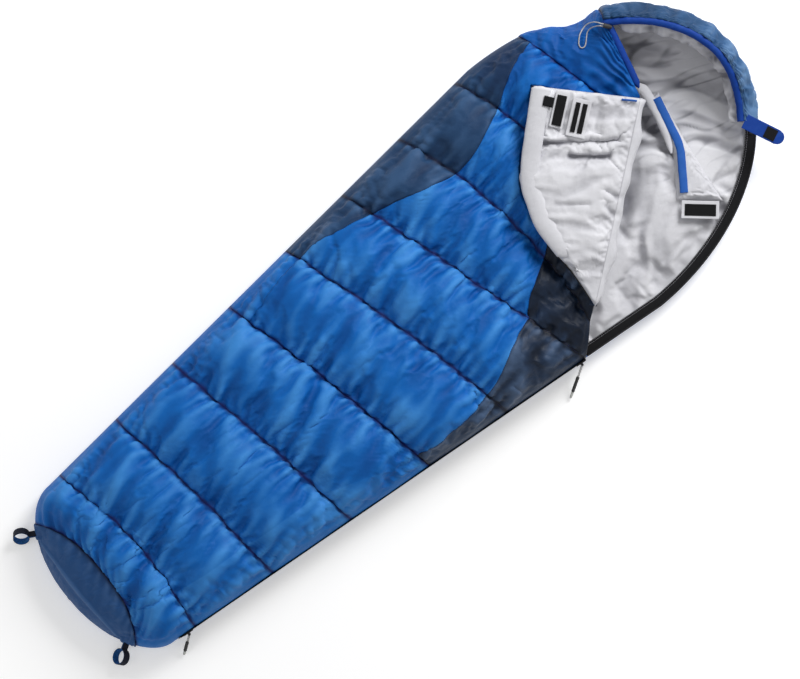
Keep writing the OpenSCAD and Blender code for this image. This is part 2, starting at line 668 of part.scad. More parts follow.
// Fold of the flap: a strip sewn to the edge of the upper wall, with a roll on the fold line
fold_roll = 3.4;
strip = 2;
strip_sewn = 10;
strip_first = zip_seams + 1 + 1 / row_steps;
strip_rows = [for (i = [0:(channels - strip_first) * row_steps]) channels - i / row_steps];
function fold_share(r) = at(fold_seams, r - zip_seams - 1);
module fold_seam() color(grey) flap_frame() {
    translate([0, fold_setback - seat, 0]) rotate([90, 0, 0]) linear_extrude(strip) polygon(concat(
        [[fold_share(strip_first) * fold_length, 0], [flap_last * fold_length, 0],
            [flap_last * fold_length, top_outer(channels, columns)[2] - fold_height]],
        [for (r = strip_rows)
            [fold_share(r) * fold_length, top_outer(r, columns)[2] - fold_height - strip_sewn]]));
    translate([flap_first * fold_length, 0, 0]) rotate([0, 90, 0])
        cylinder(r = fold_roll, h = (flap_last - flap_first) * fold_length, $fn = 32);
}

// Flap: X runs along the fold line, Y across it to the left, Z up from the fold axis
flap_gap = fold_roll + seat;
flap_first = 0.19;
flap_last = 0.985;
flap_edge_shares = [
    [0.21, 0.06], [0.29, 0.27], [0.345, 0.45], [0.425, 0.68], [0.495, 0.80], [0.62, 0.935], [0.945, 1]
];
flap_steps = 4;
flap_edge = spline([for (p = flap_edge_shares) [p[0] * fold_length, p[1] * flap_reach]], flap_steps);
flap_outline = concat(
    [[flap_first * fold_length, flap_gap]], flap_edge, [[flap_last * fold_length, flap_gap]]);
flap_top = seat + wall;
module flap_layer(low, high) {
    flap_frame() translate([0, 0, low]) linear_extrude(high - low) polygon(reverse(flap_outline));
}
module flap_shell() color(blue) flap_layer(seat, seat + skin);
module flap_fill() color(batt) flap_layer(seat + skin, flap_top - skin);
module flap_lining() color(white) flap_layer(flap_top - skin, flap_top);

// Points beside the flap's zip edge: out is the distance outside the edge
function edge_normal(i) = let (
    d = unit(flap_edge[min(len(flap_edge) - 1, i + 1)] - flap_edge[max(0, i - 1)])) [-d[1], d[0]];
function beside_edge(first, out) = [for (i = [first:len(flap_edge) - 1]) flap_edge[i] + out * edge_normal(i)];
function raised(list, z) = [for (p = list) [p[0], p[1], z]];
tube_half_height = 7;
tube_first = 6;
tube_overhang = 4;
module flap_draft_tube() color(white) flap_frame()
    tube(raised(beside_edge(tube_first, tube_overhang - flap_tube_width / 2),
        flap_top + seat + tube_half_height), flap_tube_width / 2, tube_half_height, 8);
// The zip of the flap stands on edge under the overhang of the tube
flap_tape_low = 8;
flap_tape_width = 12;
flap_coil_height = flap_tape_low + flap_tape_width + seat + coil_radius;
module flap_zip_tape() color(black) flap_frame() translate([0, 0, flap_tape_low])
    linear_extrude(flap_tape_width)
        polygon(concat(beside_edge(0, seat + tape), reverse(beside_edge(0, seat))));
module flap_zip_coil() color(black) flap_frame()
    tube(raised(beside_edge(0, seat + coil_radius), flap_coil_height), coil_radius, coil_radius, 8);

// Fittings on the flap's lining, near its upper edge
patch = 1.5;
patch_side = 26;
patch_at = [0.895, 0.835];
tab_skin = 2;
cover_length = 92;
cover_width = 34;
cover_border = 5;
cover_axis = [0.945, 0.72];
pocket_size = [96, 48, 4];
pocket_at = [0.86, 0.53];
strip_width = 12;
strip_length = 75;
strip_gap = 6;
module on_flap(place) {
    flap_frame() translate([place[0] * fold_length, place[1] * flap_reach, flap_top]) children();
}
module flap_loop_patch() color(black) on_flap(patch_at) translate([-patch_side / 2, -patch_side / 2, 0])
    cube([patch_side, patch_side, patch]);
module zip_cover_tab() color(white) on_flap(cover_axis) translate([-cover_length, -cover_width / 2, seat])
    cube([cover_length, cover_width, tab_skin]);
module zip_cover_patch() color(black) on_flap(cover_axis)
    translate([-cover_length + cover_border, cover_border - cover_width / 2, seat + tab_skin])
        cube([cover_length - 3 * cover_border, cover_width - 2 * cover_border, patch]);
module pocket_bag() color(white) on_flap(pocket_at)
    translate([-pocket_size[0] / 2, -pocket_size[1] / 2, 0]) cube(pocket_size);
module pocket_strips() color(black) on_flap(pocket_at) for (side = [-1, 1])
    translate([-strip_length / 2, side * (strip_gap + strip_width) / 2 - strip_width / 2, pocket_size[2]])
        cube([strip_length, strip_width, patch]);

// Piping on the flap's neck edge, beside the fold
flap_piping_radius = 2.5;
flap_piping_inset = 3;
flap_piping_ends = [0.03, 0.17];
neck_near = [flap_last * fold_length, flap_gap];
neck_far = flap_edge[len(flap_edge) - 1];
module flap_piping() color(blue) flap_frame()
    tube([for (share = flap_piping_ends) [each (lerp(neck_near, neck_far, share) - [flap_piping_inset, 0]),
        flap_top + seat + flap_piping_radius]], flap_piping_radius, flap_piping_radius, 12);

// Neck collar on the lining of the underside, with a band of piping and a hook tab on its end
function below_crown(list) = [for (p = list) [p[0], bag_length - p[1]]];
collar_free = below_crown([[-33, 243], [99, 277], [160, 316], [205, 350]]);
collar_back = below_crown([[285, 258], [112, 236], [-38, 208]]);
collar_band = below_crown([[-28, 224], [47, 242], [105, 258], [160, 294], [203, 324]]);
collar_steps = 3;
collar_end_dir = unit(collar_back[0] - collar_free[3]);
collar_end_length = norm(collar_back[0] - collar_free[3]);
piping_half_width = 9;
piping_half_height = 3.5;
collar_top = base_thickness + collar_thickness;
module neck_collar() color(grey) bag() translate([0, 0, base_thickness])
    linear_extrude(collar_thickness) polygon(concat(spline(collar_free, collar_steps), collar_back));
module collar_piping() color(blue) bag()
    tube(raised(spline(collar_band, collar_steps), collar_top + seat + piping_half_height),
        piping_half_width, piping_half_height, 8);
collar_tab_length = 96;
collar_patch_start = 9;
collar_patch = [80, 30];
module collar_tab_frame() {
    bag() translate([each (collar_free[3] + collar_end_dir * collar_end_length / 2), collar_top])
        rotate(atan2(collar_end_dir[1], collar_end_dir[0])) children();
}
module collar_tab() color(white) collar_tab_frame()
    translate([-collar_tab_length / 2, -seat - collar_tab_width, -tab_skin])
        cube([collar_tab_length, collar_tab_width, tab_skin]);
module collar_tab_patch() color(black) collar_tab_frame()
    translate([-collar_patch[0] / 2, -collar_patch_start - collar_patch[1], 0])
        cube([collar_patch[0], collar_patch[1], patch]);

// Closure tab at the zip end of the hood, turned outwards
closure_turn = 24;
closure_patch = [30, 30];
closure_patch_start = 58;
closure_axis_height = hood_end_height + seat + skin + patch;
module closure_frame() {
    bag() translate([each hem_point(hood_end_angle), closure_axis_height]) rotate(closure_turn) children();
}
module closure_tab() color(blue) closure_frame() translate([0, -closure_width / 2, -patch - skin]) {
    cube([closure_length - closure_width / 2, closure_width, skin]);
    translate([closure_length - closure_width / 2, closure_width / 2, 0])
        cylinder(d = closure_width, h = skin, $fn = 64);
}
module closure_tab_patch() color(black) closure_frame()
    translate([closure_patch_start, -closure_patch[1] / 2, -patch])
        cube([closure_patch[0], closure_patch[1], patch]);

// Foot loops
module foot_loop(side) {
    bag() translate([side * loop_x, loop_y, loop_height]) rotate(-90 + side * loop_splay)
        rotate([side * loop_roll, 0, 0]) translate([seat, 0, -webbing_width / 2]) {
            translate([loop_stem + loop_outer, 0, 0]) linear_extrude(webbing_width) difference() {
                circle(r = loop_outer, $fn = 64);
                circle(r = eye_radius, $fn = 64);
            }
            translate([0, -webbing, 0]) cube([loop_stem + webbing / 2, 2 * webbing, webbing_width]);
        }
}
module foot_loop_left() color(black) foot_loop(-1);
module foot_loop_right() color(black) foot_loop(1);

base_shell();
base_fill();
base_lining();
foot_panel_shell();
foot_panel_fill();
foot_panel_lining();
leg_shell();
chest_shell();
left_side_shell();
right_side_shell();
top_fill();
top_lining();
fold_seam();
hood_cheek_shell();
hood_crown_shell();
hood_fill();
hood_lining();
hood_hem();
hood_drawcord();
drawcord_tail();
cord_lock_body();
cord_lock_plunger();
zip_base_tape();
zip_top_tape();
zip_base_coil();
zip_top_coil();
zip_bottom_stop();
zip_band();
zip_band_coil();
zip_top_stop();
draft_tube();
main_slider();
main_pull_cord();
main_pull_grip();
main_pull_tip();
foot_slider();
foot_pull_cord();
foot_pull_grip();
foot_pull_tip();
flap_shell();
flap_fill();
flap_lining();
flap_draft_tube();
flap_zip_tape();
flap_zip_coil();
flap_piping();
flap_loop_patch();
pocket_bag();
pocket_strips();
zip_cover_tab();
zip_cover_patch();
neck_collar();
collar_piping();
collar_tab();
collar_tab_patch();
closure_tab();
closure_tab_patch();
foot_loop_left();
foot_loop_right();
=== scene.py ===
"""Looks of the mummy sleeping bag: quilted cloth, padding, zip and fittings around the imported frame."""

import json
import math

import bpy
import numpy as np
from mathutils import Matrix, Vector, noise
from mathutils.bvhtree import BVHTree


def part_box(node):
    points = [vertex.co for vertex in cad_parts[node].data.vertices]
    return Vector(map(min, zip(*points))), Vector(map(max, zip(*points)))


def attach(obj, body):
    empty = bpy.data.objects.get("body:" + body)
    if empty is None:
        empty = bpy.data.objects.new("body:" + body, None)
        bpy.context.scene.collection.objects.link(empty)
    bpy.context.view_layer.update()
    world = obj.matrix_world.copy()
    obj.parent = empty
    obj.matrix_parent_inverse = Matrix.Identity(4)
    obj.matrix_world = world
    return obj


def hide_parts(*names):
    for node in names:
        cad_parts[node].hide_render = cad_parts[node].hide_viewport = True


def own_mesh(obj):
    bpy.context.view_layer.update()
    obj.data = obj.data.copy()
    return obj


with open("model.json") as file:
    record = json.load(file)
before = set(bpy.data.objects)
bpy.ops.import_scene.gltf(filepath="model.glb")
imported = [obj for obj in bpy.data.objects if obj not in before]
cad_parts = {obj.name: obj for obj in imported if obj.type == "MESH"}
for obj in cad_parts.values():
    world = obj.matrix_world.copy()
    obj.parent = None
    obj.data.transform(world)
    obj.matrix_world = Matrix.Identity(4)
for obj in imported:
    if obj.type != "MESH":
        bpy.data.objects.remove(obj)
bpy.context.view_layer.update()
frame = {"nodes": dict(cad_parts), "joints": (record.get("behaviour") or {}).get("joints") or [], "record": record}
nodes = frame["nodes"]
joints = {j["name"]: j for j in frame["joints"]}
scene = bpy.context.scene


# Driving sizes, read from the frame where it has them
shell_low, shell_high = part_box("base_shell")
base_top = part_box("base_lining")[1].z
foot_bulge = 0.045
foot_line = shell_low.y + foot_bulge
middle_x = (shell_low.x + shell_high.x) / 2
bag_length = shell_high.y - foot_line
half_shoulder = (shell_high.x - shell_low.x) / 2
half_foot = 0.255
hood_round = 0.550
foot_round = 0.100
foot_depth = foot_round + foot_bulge
shoulder_station = bag_length - hood_round
wall = 0.030
zip_slot = 0.027
side_round = 0.130
leg_height = 0.138
chest_height = 0.116
foot_height = 0.122
puff = 0.022
hood_height = 0.165
hood_end_drop = 0.010
hem_inset = 0.040
fold_pivot = np.array(joints["flap_fold"]["pos_m"])
fold_dir = np.array(joints["flap_fold"]["axis"])
fold_left = np.array([-fold_dir[1], fold_dir[0], 0.0])
zip_dir = np.array(joints["main_slider_run"]["axis"])
fold_height = fold_pivot[2]
hood_end_height = fold_height - wall - hood_end_drop
zip_top = fold_pivot[1] - foot_line
cloth = 0.0012
clear = 0.0006
cord_diameter = 0.003
upward = np.array([0.0, 0.0, 1.0])


# Camera, as the photograph looks: straight down, the bag lying from lower left to upper right
picture_width = 2.023
camera_distance = 6.0
camera_turn = math.radians(50.4)
camera_aim = Vector((0.0092, -0.0142, 0.10))
camera_data = bpy.data.cameras.new("camera")
camera_data.lens = camera_data.sensor_width * camera_distance / picture_width
camera = bpy.data.objects.new("camera", camera_data)
camera.location = camera_aim + Vector((0, 0, camera_distance))
camera.rotation_euler = (0, 0, camera_turn)
scene.collection.objects.link(camera)
scene.camera = camera
scene.view_settings.view_transform = "Standard"


# Small helpers
def lerp(a, b, t):
    return a + (b - a) * t


def smooth(t):
    c = np.clip(t, 0, 1)
    return c * c * (3 - 2 * c)


def rise(d):
    c = np.clip(d, 0, 1)
    return np.sqrt(1 - (1 - c) ** 2)


def bell(d, half):
    """1 at no distance, and next to nothing at twice the half width."""
    return np.exp(-(d / half) ** 2)


def unit(v):
    return v / np.linalg.norm(v, axis=-1, keepdims=True)


def entries(values, t):
    """The entry of a list before each place, and how far the place is towards the next one."""
    values = np.asarray(values, float)
    t = np.asarray(t, float)
    i = np.clip(np.floor(t).astype(int), 0, len(values) - 2)
    f = t - i
    return values, i, f[..., None] if values.ndim > 1 else f


def at(values, t):
    """Value of a list at places between its entries."""
    values, i, f = entries(values, t)
    return lerp(values[i], values[i + 1], f)


def flowing(values, t):
    """As at(), on a smooth curve through the entries."""
    values, i, f = entries(values, t)
    a = values[np.maximum(i - 1, 0)]
    b = values[i]
    c = values[i + 1]
    d = values[np.minimum(i + 2, len(values) - 1)]
    square = 2 * a - 5 * b + 4 * c - d
    cube = 3 * b - a - 3 * c + d
    return 0.5 * (2 * b + (c - a) * f + square * f ** 2 + cube * f ** 3)


def curve(values, count):
    """Points on a smooth curve through all the entries of a list."""
    return flowing(values, np.linspace(0, len(values) - 1, count))


def run_of(line):
    """Distance of each point of a line from its first."""
    return np.concatenate([[0], np.cumsum(np.linalg.norm(np.diff(line, axis=0), axis=1))])


def read_along(values, run, places):
    return np.stack([np.interp(places, run, values[:, k]) for k in range(values.shape[1])], -1)


def evenly(line, count):
    """Points at even steps along a line."""
    run = run_of(line)
    return read_along(line, run, np.linspace(0, run[-1], count))


def in_frame(x, y, z):
    """Points of the bag's own plan, in the frame."""
    x, y, z = np.broadcast_arrays(x, y, z)
    return np.stack([x + middle_x, y + foot_line, z], -1)


def over(plan, z):
    return in_frame(plan[..., 0], plan[..., 1], z)


def ripple(points, scale, seed):
    """Smooth noise from -1 to 1 at each point; scale is in waves a metre for each axis."""
    flat = points.reshape(-1, 3) * np.asarray(scale, float) + seed
    return np.array([noise.noise(p) for p in flat]).reshape(points.shape[:-1])


def crease(points, scale, seed):
    """Noise with sharp ridges, from -1 to 1, as folds in thin cloth."""
    return 1 - 2 * (ripple(points, scale, seed) ** 2 + 0.004) ** 0.35


# Plan of the bag
side_slope = (half_shoulder - half_foot) / (shoulder_station - foot_round)
neck_dent = 0.022
dent_angle = math.radians(31)
dent_half = math.radians(12)


def edge_x(y):
    y = np.asarray(y, float)
    foot = np.clip((foot_round - y) / foot_depth, 0, 1)
    foot_x = half_foot * np.sqrt(1 - foot ** 2)
    side_x = half_foot + side_slope * (y - foot_round)
    hood = np.clip((y - shoulder_station) / hood_round, 0, 1)
    hood_x = half_shoulder * np.sqrt(1 - hood ** 2)
    return np.where(y < foot_round, foot_x, np.where(y < shoulder_station, side_x, hood_x))


def foot_y(x):
    share = np.clip(np.abs(x) / half_foot, 0, 1)
    return foot_round - foot_depth * np.sqrt(1 - share ** 2)


def hood_arc(q):
    return np.stack([-half_shoulder * np.cos(q), shoulder_station + hood_round * np.sin(q)], -1)


def hood_outward(q):
    return unit(np.stack([-np.cos(q) / half_shoulder, np.sin(q) / hood_round], -1))


def hood_point(q):
    """A point of the hood's outline: an arc that is drawn in at the left of the neck."""
    drawn = neck_dent * smooth(1 - np.abs(q - dent_angle) / dent_half)
    return hood_arc(q) - drawn[..., None] * hood_outward(q)


def left_x(y):
    """The left edge of the outline."""
    over = hood_point(np.linspace(0, math.pi / 2, 200))
    return np.where(y < shoulder_station, -edge_x(y), np.interp(y, over[:, 1], over[:, 0]))


# Seams of the upper wall, counted from the foot panel (0) to the neck (last)
channels = 9
zip_seams = 6
foot_seam = 0.012
foot_bow_power = 3
neck_left = bag_length - 0.395
seam_bow = np.array([68, 40, 15, 10, 12, 14, 4, 45, 15, 0]) / 1000
left_width = np.array([100, 100, 100, 100, 70, 45, 96, 166, 126, 40]) / 1000
right_width = np.array([100, 100, 100, 100, 45, 74, 181, 200, 140, 40]) / 1000
fold_seams = [0.13, 0.57, 0.90]
fold_setback = 0.003
fold_plan = fold_pivot[:2] - np.array([middle_x, foot_line])
fold_end = np.array([-0.056, bag_length - 0.261])
fold_length = np.linalg.norm(fold_end - fold_plan)
fold_right = -fold_left[:2]
fold_spread = zip_dir[0] * fold_dir[1] - zip_dir[1] * fold_dir[0]
left_stations = [foot_seam, *np.linspace(0.142, neck_left, channels)]
zip_stations = [foot_seam, *np.linspace(0.165, zip_top, zip_seams)]
right_points = [np.array([float(edge_x(y)), y]) for y in zip_stations]
right_points += [fold_plan + fold_dir[:2] * fold_length * s - fold_right * fold_setback for s in fold_seams]
fold_offset = [0.0] * (zip_seams + 1) + [s * fold_length * fold_spread for s in fold_seams]
fold_cut = [wall] * (zip_seams + 1) + [0.008] * len(fold_seams)
side_columns = 4
mid_columns = 8
columns = mid_columns + 2 * side_columns


def row_left(r):
    y = at(left_stations, r)
    return np.stack([-edge_x(y), y], -1)


def row_right(r):
    y = at(zip_stations, np.minimum(r, zip_seams))
    on_zip = np.stack([edge_x(y), y], -1)
    return np.where((np.asarray(r) > zip_seams)[..., None], at(right_points, r), on_zip)


def row_width(r):
    return np.linalg.norm(row_right(r) - row_left(r), axis=-1)


def row_height(r):
    seam = lerp(lerp(foot_height, leg_height, smooth(r)), chest_height, smooth((r - 5) / 2))
    return seam + puff * np.sin(math.pi * (r - np.floor(r)))


def row_place(r, c):
    w = row_width(r)
    l = flowing(left_width, r)
    k = flowing(right_width, r)
    left = l * np.clip(c / side_columns, 0, None) ** 1.5
    right = w - k * np.clip((columns - c) / side_columns, 0, None) ** 1.5
    middle = lerp(l, w - k, (c - side_columns) / mid_columns)
    return np.where(c <= side_columns, left, np.where(c <= columns - side_columns, middle, right))


def row_plan(r, s):
    u = s / row_width(r)
    p = lerp(row_left(r), row_right(r), u[..., None])
    power = lerp(foot_bow_power, 2, np.clip(r, 0, 1))
    p[..., 1] += flowing(seam_bow, r) * (1 - np.abs(2 * u - 1) ** power)
    return p


def loft(r, d_left, d_right, reach, top):
    left = rise(d_left / reach)
    right = rise(d_right / reach)
    slot = zip_slot * smooth(r / 0.5)
    foot = np.where(left < right, base_top, base_top + slot)
    return lerp(foot, top, np.minimum(left, right))


def top_outer(r, c):
    r, c = np.broadcast_arrays(np.asarray(r, float), np.asarray(c, float))
    s = row_place(r, c)
    p = row_plan(r, s)
    z = loft(r, s, row_width(r) - s + at(fold_offset, r), side_round, row_height(r))
    return over(p, z)


def top_inner(r, c):
    r, c = np.broadcast_arrays(np.asarray(r, float), np.asarray(c, float))
    w = row_width(r)
    cut = at(fold_cut, r)
    s = wall + row_place(r, c) * (w - wall - cut) / w
    p = row_plan(r, s)
    z = loft(r, s - wall, w - s - cut + at(fold_offset, r), side_round - wall, row_height(r) - wall)
    return over(p, z)


# Hood: sections over the crown, from the outline (0) to the hem (1)
neck_angle = math.asin((neck_left - shoulder_station) / hood_round)
fold_end_angle = neck_angle + math.radians(7)
crown_angle = math.radians(40)
hem_rise_angle = math.radians(50)
hem_crown_angle = math.radians(85)
hood_end_angle = math.radians(118)
hem_wall = 0.016


def hem_point(q):
    q = np.asarray(q, float)
    neck = right_points[channels]
    end = fold_end - fold_right * fold_setback
    corner = hood_arc(np.array(crown_angle)) - hem_inset * hood_outward(np.array(crown_angle))
    along_fold = lerp(neck, end, ((q - neck_angle) / (fold_end_angle - neck_angle))[..., None])
    along_cheek = lerp(end, corner, ((q - fold_end_angle) / (crown_angle - fold_end_angle))[..., None])
    around = hood_arc(q) - hem_inset * hood_outward(q)
    low = (q < fold_end_angle)[..., None]
    mid = (q < crown_angle)[..., None]
    return np.where(low, along_fold, np.where(mid, along_cheek, around))


def hem_height(q):
    up = lerp(chest_height, hood_height, smooth((q - neck_angle) / (hem_rise_angle - neck_angle)))
    past_crown = (q - hem_crown_angle) / (hood_end_angle - hem_crown_angle)
    down = lerp(hood_height, hood_end_height, smooth(past_crown))
    return np.where(q < hem_crown_angle, up, down)


def hood_surface(q, w, inside):
    q, w = np.broadcast_arrays(np.asarray(q, float), np.asarray(w, float))
    p = hood_point(q)
    across = hem_point(q) - p
    reach = np.linalg.norm(across, axis=-1)
    start = wall if inside else 0.0
    s = start + (reach - start) * w ** 1.5
    plan = p + s[..., None] * across / reach[..., None]
    depth = lerp(wall, hem_wall, smooth((q - neck_angle) / (crown_angle - neck_angle))) if inside else 0.0
    top = hem_height(q) - depth
    z = lerp(base_top, top, rise((s - start) / (np.minimum(side_round, reach) - start)))
    return over(plan, z)


# Meshes from grids of points
def grid_faces(rows, cols, first=0):
    i, j = np.meshgrid(np.arange(rows - 1), np.arange(cols - 1), indexing="ij")
    a = first + i * cols + j
    return np.stack([a, a + 1, a + cols + 1, a + cols], -1).reshape(-1, 4)


def grid_normals(grid):
    along = np.gradient(grid, axis=0)
    across = np.gradient(grid, axis=1)
    n = np.cross(across, along)
    return n / np.maximum(np.linalg.norm(n, axis=-1, keepdims=True), 1e-12)


def pushed(grid, lift):
    """A grid moved along its normals."""
    return grid + lift[..., None] * grid_normals(grid)


def finer(grid):
    """Doubles the rows and columns on smooth curves through the points."""
    for axis in (0, 1):
        g = np.moveaxis(grid, axis, 0)
        ends = np.concatenate([2 * g[:1] - g[1:2], g, 2 * g[-1:] - g[-2:-1]])
        between = (9 * (ends[1:-2] + ends[2:-1]) - ends[:-3] - ends[3:]) / 16
        out = np.empty((2 * len(g) - 1, *g.shape[1:]))
        out[0::2] = g
        out[1::2] = between
        grid = np.moveaxis(out, 0, axis)
    return grid


def finer_values(values):
    return finer(values[..., None])[..., 0]


def rim_marked(grid):
    """True for the outer rows and columns of a grid."""
    marked = np.zeros(grid.shape[:2], bool)
    marked[[0, -1]] = True
    marked[:, [0, -1]] = True
    return marked


def new_mesh(name, points, quads):
    mesh = bpy.data.meshes.new(name)
    points = np.asarray(points, np.float32).reshape(-1, 3)
    quads = np.asarray(quads, np.int32)
    mesh.vertices.add(len(points))
    mesh.vertices.foreach_set("co", points.ravel())
    mesh.loops.add(quads.size)
    mesh.loops.foreach_set("vertex_index", quads.ravel())
    mesh.polygons.add(len(quads))
    mesh.polygons.foreach_set("loop_start", np.arange(0, quads.size, quads.shape[1], dtype=np.int32))
    mesh.polygons.foreach_set("use_smooth", np.ones(len(quads), bool))
    mesh.update(calc_edges=True)
    mesh.validate()
    return mesh


def sheet_solid(grid, thickness):
    """Points and faces of a closed thin sheet: the grid, a second layer under it, and the rims."""
    rows, cols = grid.shape[:2]
    under = grid - thickness * grid_normals(grid)
    points = np.concatenate([grid.reshape(-1, 3), under.reshape(-1, 3)])
    count = rows * cols
    top = grid_faces(rows, cols)
    bottom = grid_faces(rows, cols, count)[:, ::-1]
    index = np.arange(count).reshape(rows, cols)
    loop = np.concatenate([index[0, :-1], index[:-1, -1], index[-1, :0:-1], index[:0:-1, 0]])
    ahead = np.roll(loop, -1)
    rim = np.stack([loop, loop + count, ahead + count, ahead], -1)
    return points, np.concatenate([top, bottom, rim])


def path_axes(path):
    """Directions across a path, one level and one upward."""
    tangent = unit(np.gradient(path, axis=0))
    across = unit(np.cross(upward, tangent))
    return across, np.cross(tangent, across)


def tube_grid(path, half_width, half_height, sides):
    """Rings of points around a path."""
    across, above = path_axes(path)
    angle = np.linspace(0, 2 * math.pi, sides, endpoint=False)
    half_width = np.broadcast_to(half_width, len(path))[:, None, None]
    half_height = np.broadcast_to(half_height, len(path))[:, None, None]
    ring_out = np.cos(angle)[None, :, None] * across[:, None] * half_width
    ring_up = np.sin(angle)[None, :, None] * above[:, None] * half_height
    return path[:, None] + ring_out + ring_up


def round_rings(path, radius, sides):
    return tube_grid(path, radius, radius, sides)


def swollen(rings, path, wave):
    """Rings of a tube moved out from its path."""
    return rings + wave[..., None] * unit(rings - path[:, None])


def drawn_in(count, first, last):
    """Share of its full width at each ring of a tube; first and last are the rings of its round ends."""
    number = np.arange(count)
    return np.sqrt(np.clip(np.minimum(number / first, number[::-1] / last), 0.04, 1))


def tube_solid(rings):
    """Points and faces of a closed tube: rings of points, with a fan of quads closed on each end."""
    count, sides = rings.shape[:2]
    i, k = np.meshgrid(np.arange(count - 1), np.arange(sides), indexing="ij")
    a = i * sides + k
    b = i * sides + (k + 1) % sides
    side = np.stack([a, b, b + sides, a + sides], -1).reshape(-1, 4)
    centres = np.stack([rings[0].mean(0), rings[-1].mean(0)])
    points = np.concatenate([rings.reshape(-1, 3), centres])
    low = count * sides
    k = np.arange(0, sides, 2)
    ahead = (k + 1) % sides
    beyond = (k + 2) % sides
    first = np.stack([np.full(len(k), low), beyond, ahead, k], -1)
    start = (count - 1) * sides
    last = np.stack([np.full(len(k), low + 1), start + k, start + ahead, start + beyond], -1)
    return points, np.concatenate([side, first, last])


def add_piece(name, points, quads, material, body, replaces, slot):
    piece = bpy.data.objects.new(name, new_mesh(name, points, quads))
    scene.collection.objects.link(piece)
    piece.data.materials.append(material)
    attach(piece, body)
    if replaces:
        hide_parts(*replaces)
    return piece


def add_tube(name, rings, material, body, replaces, slot):
    """A closed tube."""
    piece = add_piece(name, *tube_solid(rings), material, body, replaces, slot)
    return piece


def add_sheet(name, grid, thickness, *rest):
    """A closed thin sheet, smooth but for its cut edges."""
    piece = add_piece(name, *sheet_solid(grid, thickness), *rest)
    rows, cols = grid.shape[:2]
    is_smooth = np.ones(len(piece.data.polygons), bool)
    is_smooth[-2 * (rows + cols - 2):] = False
    piece.data.polygons.foreach_set("use_smooth", is_smooth)
    return piece


def add_cloth(name, grid, material, body, replaces, slot, fill, thickness=cloth, **painted):
    """A sheet of cloth; painted holds a value for each point, which the material reads."""
    piece = add_sheet(name, grid, thickness, material, body, replaces, slot)
    for value_name, values in painted.items():
        attribute = piece.data.attributes.new(value_name, "FLOAT", "POINT")
        attribute.data.foreach_set("value", np.tile(np.asarray(values, np.float32).ravel(), 2))
    return piece


def bevel(piece, width):
    edge = piece.modifiers.new("edge", "BEVEL")
    edge.width = width
    edge.segments = 2
    return edge


# Cloth simulation: cloth a little larger than its outline, held at its seams and filled with air
sim_frames = 20
cloth_stiffness = 8.0
cloth_damping = 4
start_unevenness = 0.001


def uneven(grid, seed):
    """Lifts a grid a little here and there, for the cloth to start from."""
    grid[..., 2] += start_unevenness * ripple(grid, 22, seed)


def relaxed(grid, pinned, excess, pressure, cap):
    rows, cols = grid.shape[:2]
    mesh = new_mesh("cloth", grid, grid_faces(rows, cols))
    piece = bpy.data.objects.new("cloth", mesh)
    scene.collection.objects.link(piece)
    group = piece.vertex_groups.new(name="held")
    group.add(np.flatnonzero(pinned.ravel()).tolist(), 1.0, "REPLACE")
    modifier = piece.modifiers.new("cloth", "CLOTH")
    settings = modifier.settings
    settings.vertex_group_mass = "held"
    settings.quality = 6
    settings.mass = 0.15
    settings.tension_stiffness = cloth_stiffness
    settings.compression_stiffness = cloth_stiffness
    settings.shear_stiffness = cloth_stiffness / 3
    settings.bending_stiffness = 0.02
    settings.tension_damping = cloth_damping
    settings.compression_damping = cloth_damping
    settings.shear_damping = cloth_damping
    settings.air_damping = 2
    settings.shrink_min = -excess
    settings.use_pressure = True
    settings.uniform_pressure_force = pressure
    settings.effector_weights.gravity = 0
    modifier.collision_settings.use_collision = False
    modifier.collision_settings.use_self_collision = False
    modifier.point_cache.frame_end = sim_frames
    for number in range(1, sim_frames + 1):
        scene.frame_set(number)
    graph = bpy.context.evaluated_depsgraph_get()
    moved = np.empty(rows * cols * 3, np.float32)
    piece.evaluated_get(graph).data.vertices.foreach_get("co", moved)
    bpy.data.objects.remove(piece)
    bpy.data.meshes.remove(mesh)
    scene.frame_set(1)
    shift = moved.astype(float).reshape(grid.shape) - grid
    length = np.linalg.norm(shift, axis=-1, keepdims=True)
    return grid + shift * np.minimum(1, cap / np.maximum(length, 1e-9))


# Materials
def linear(red, green, blue):
    """A colour as seen on a screen, 0 to 255, as light."""
    share = np.array([red, green, blue]) / 255
    light = np.where(share <= 0.04045, share / 12.92, ((share + 0.055) / 1.055) ** 2.4)
    return (*light, 1.0)


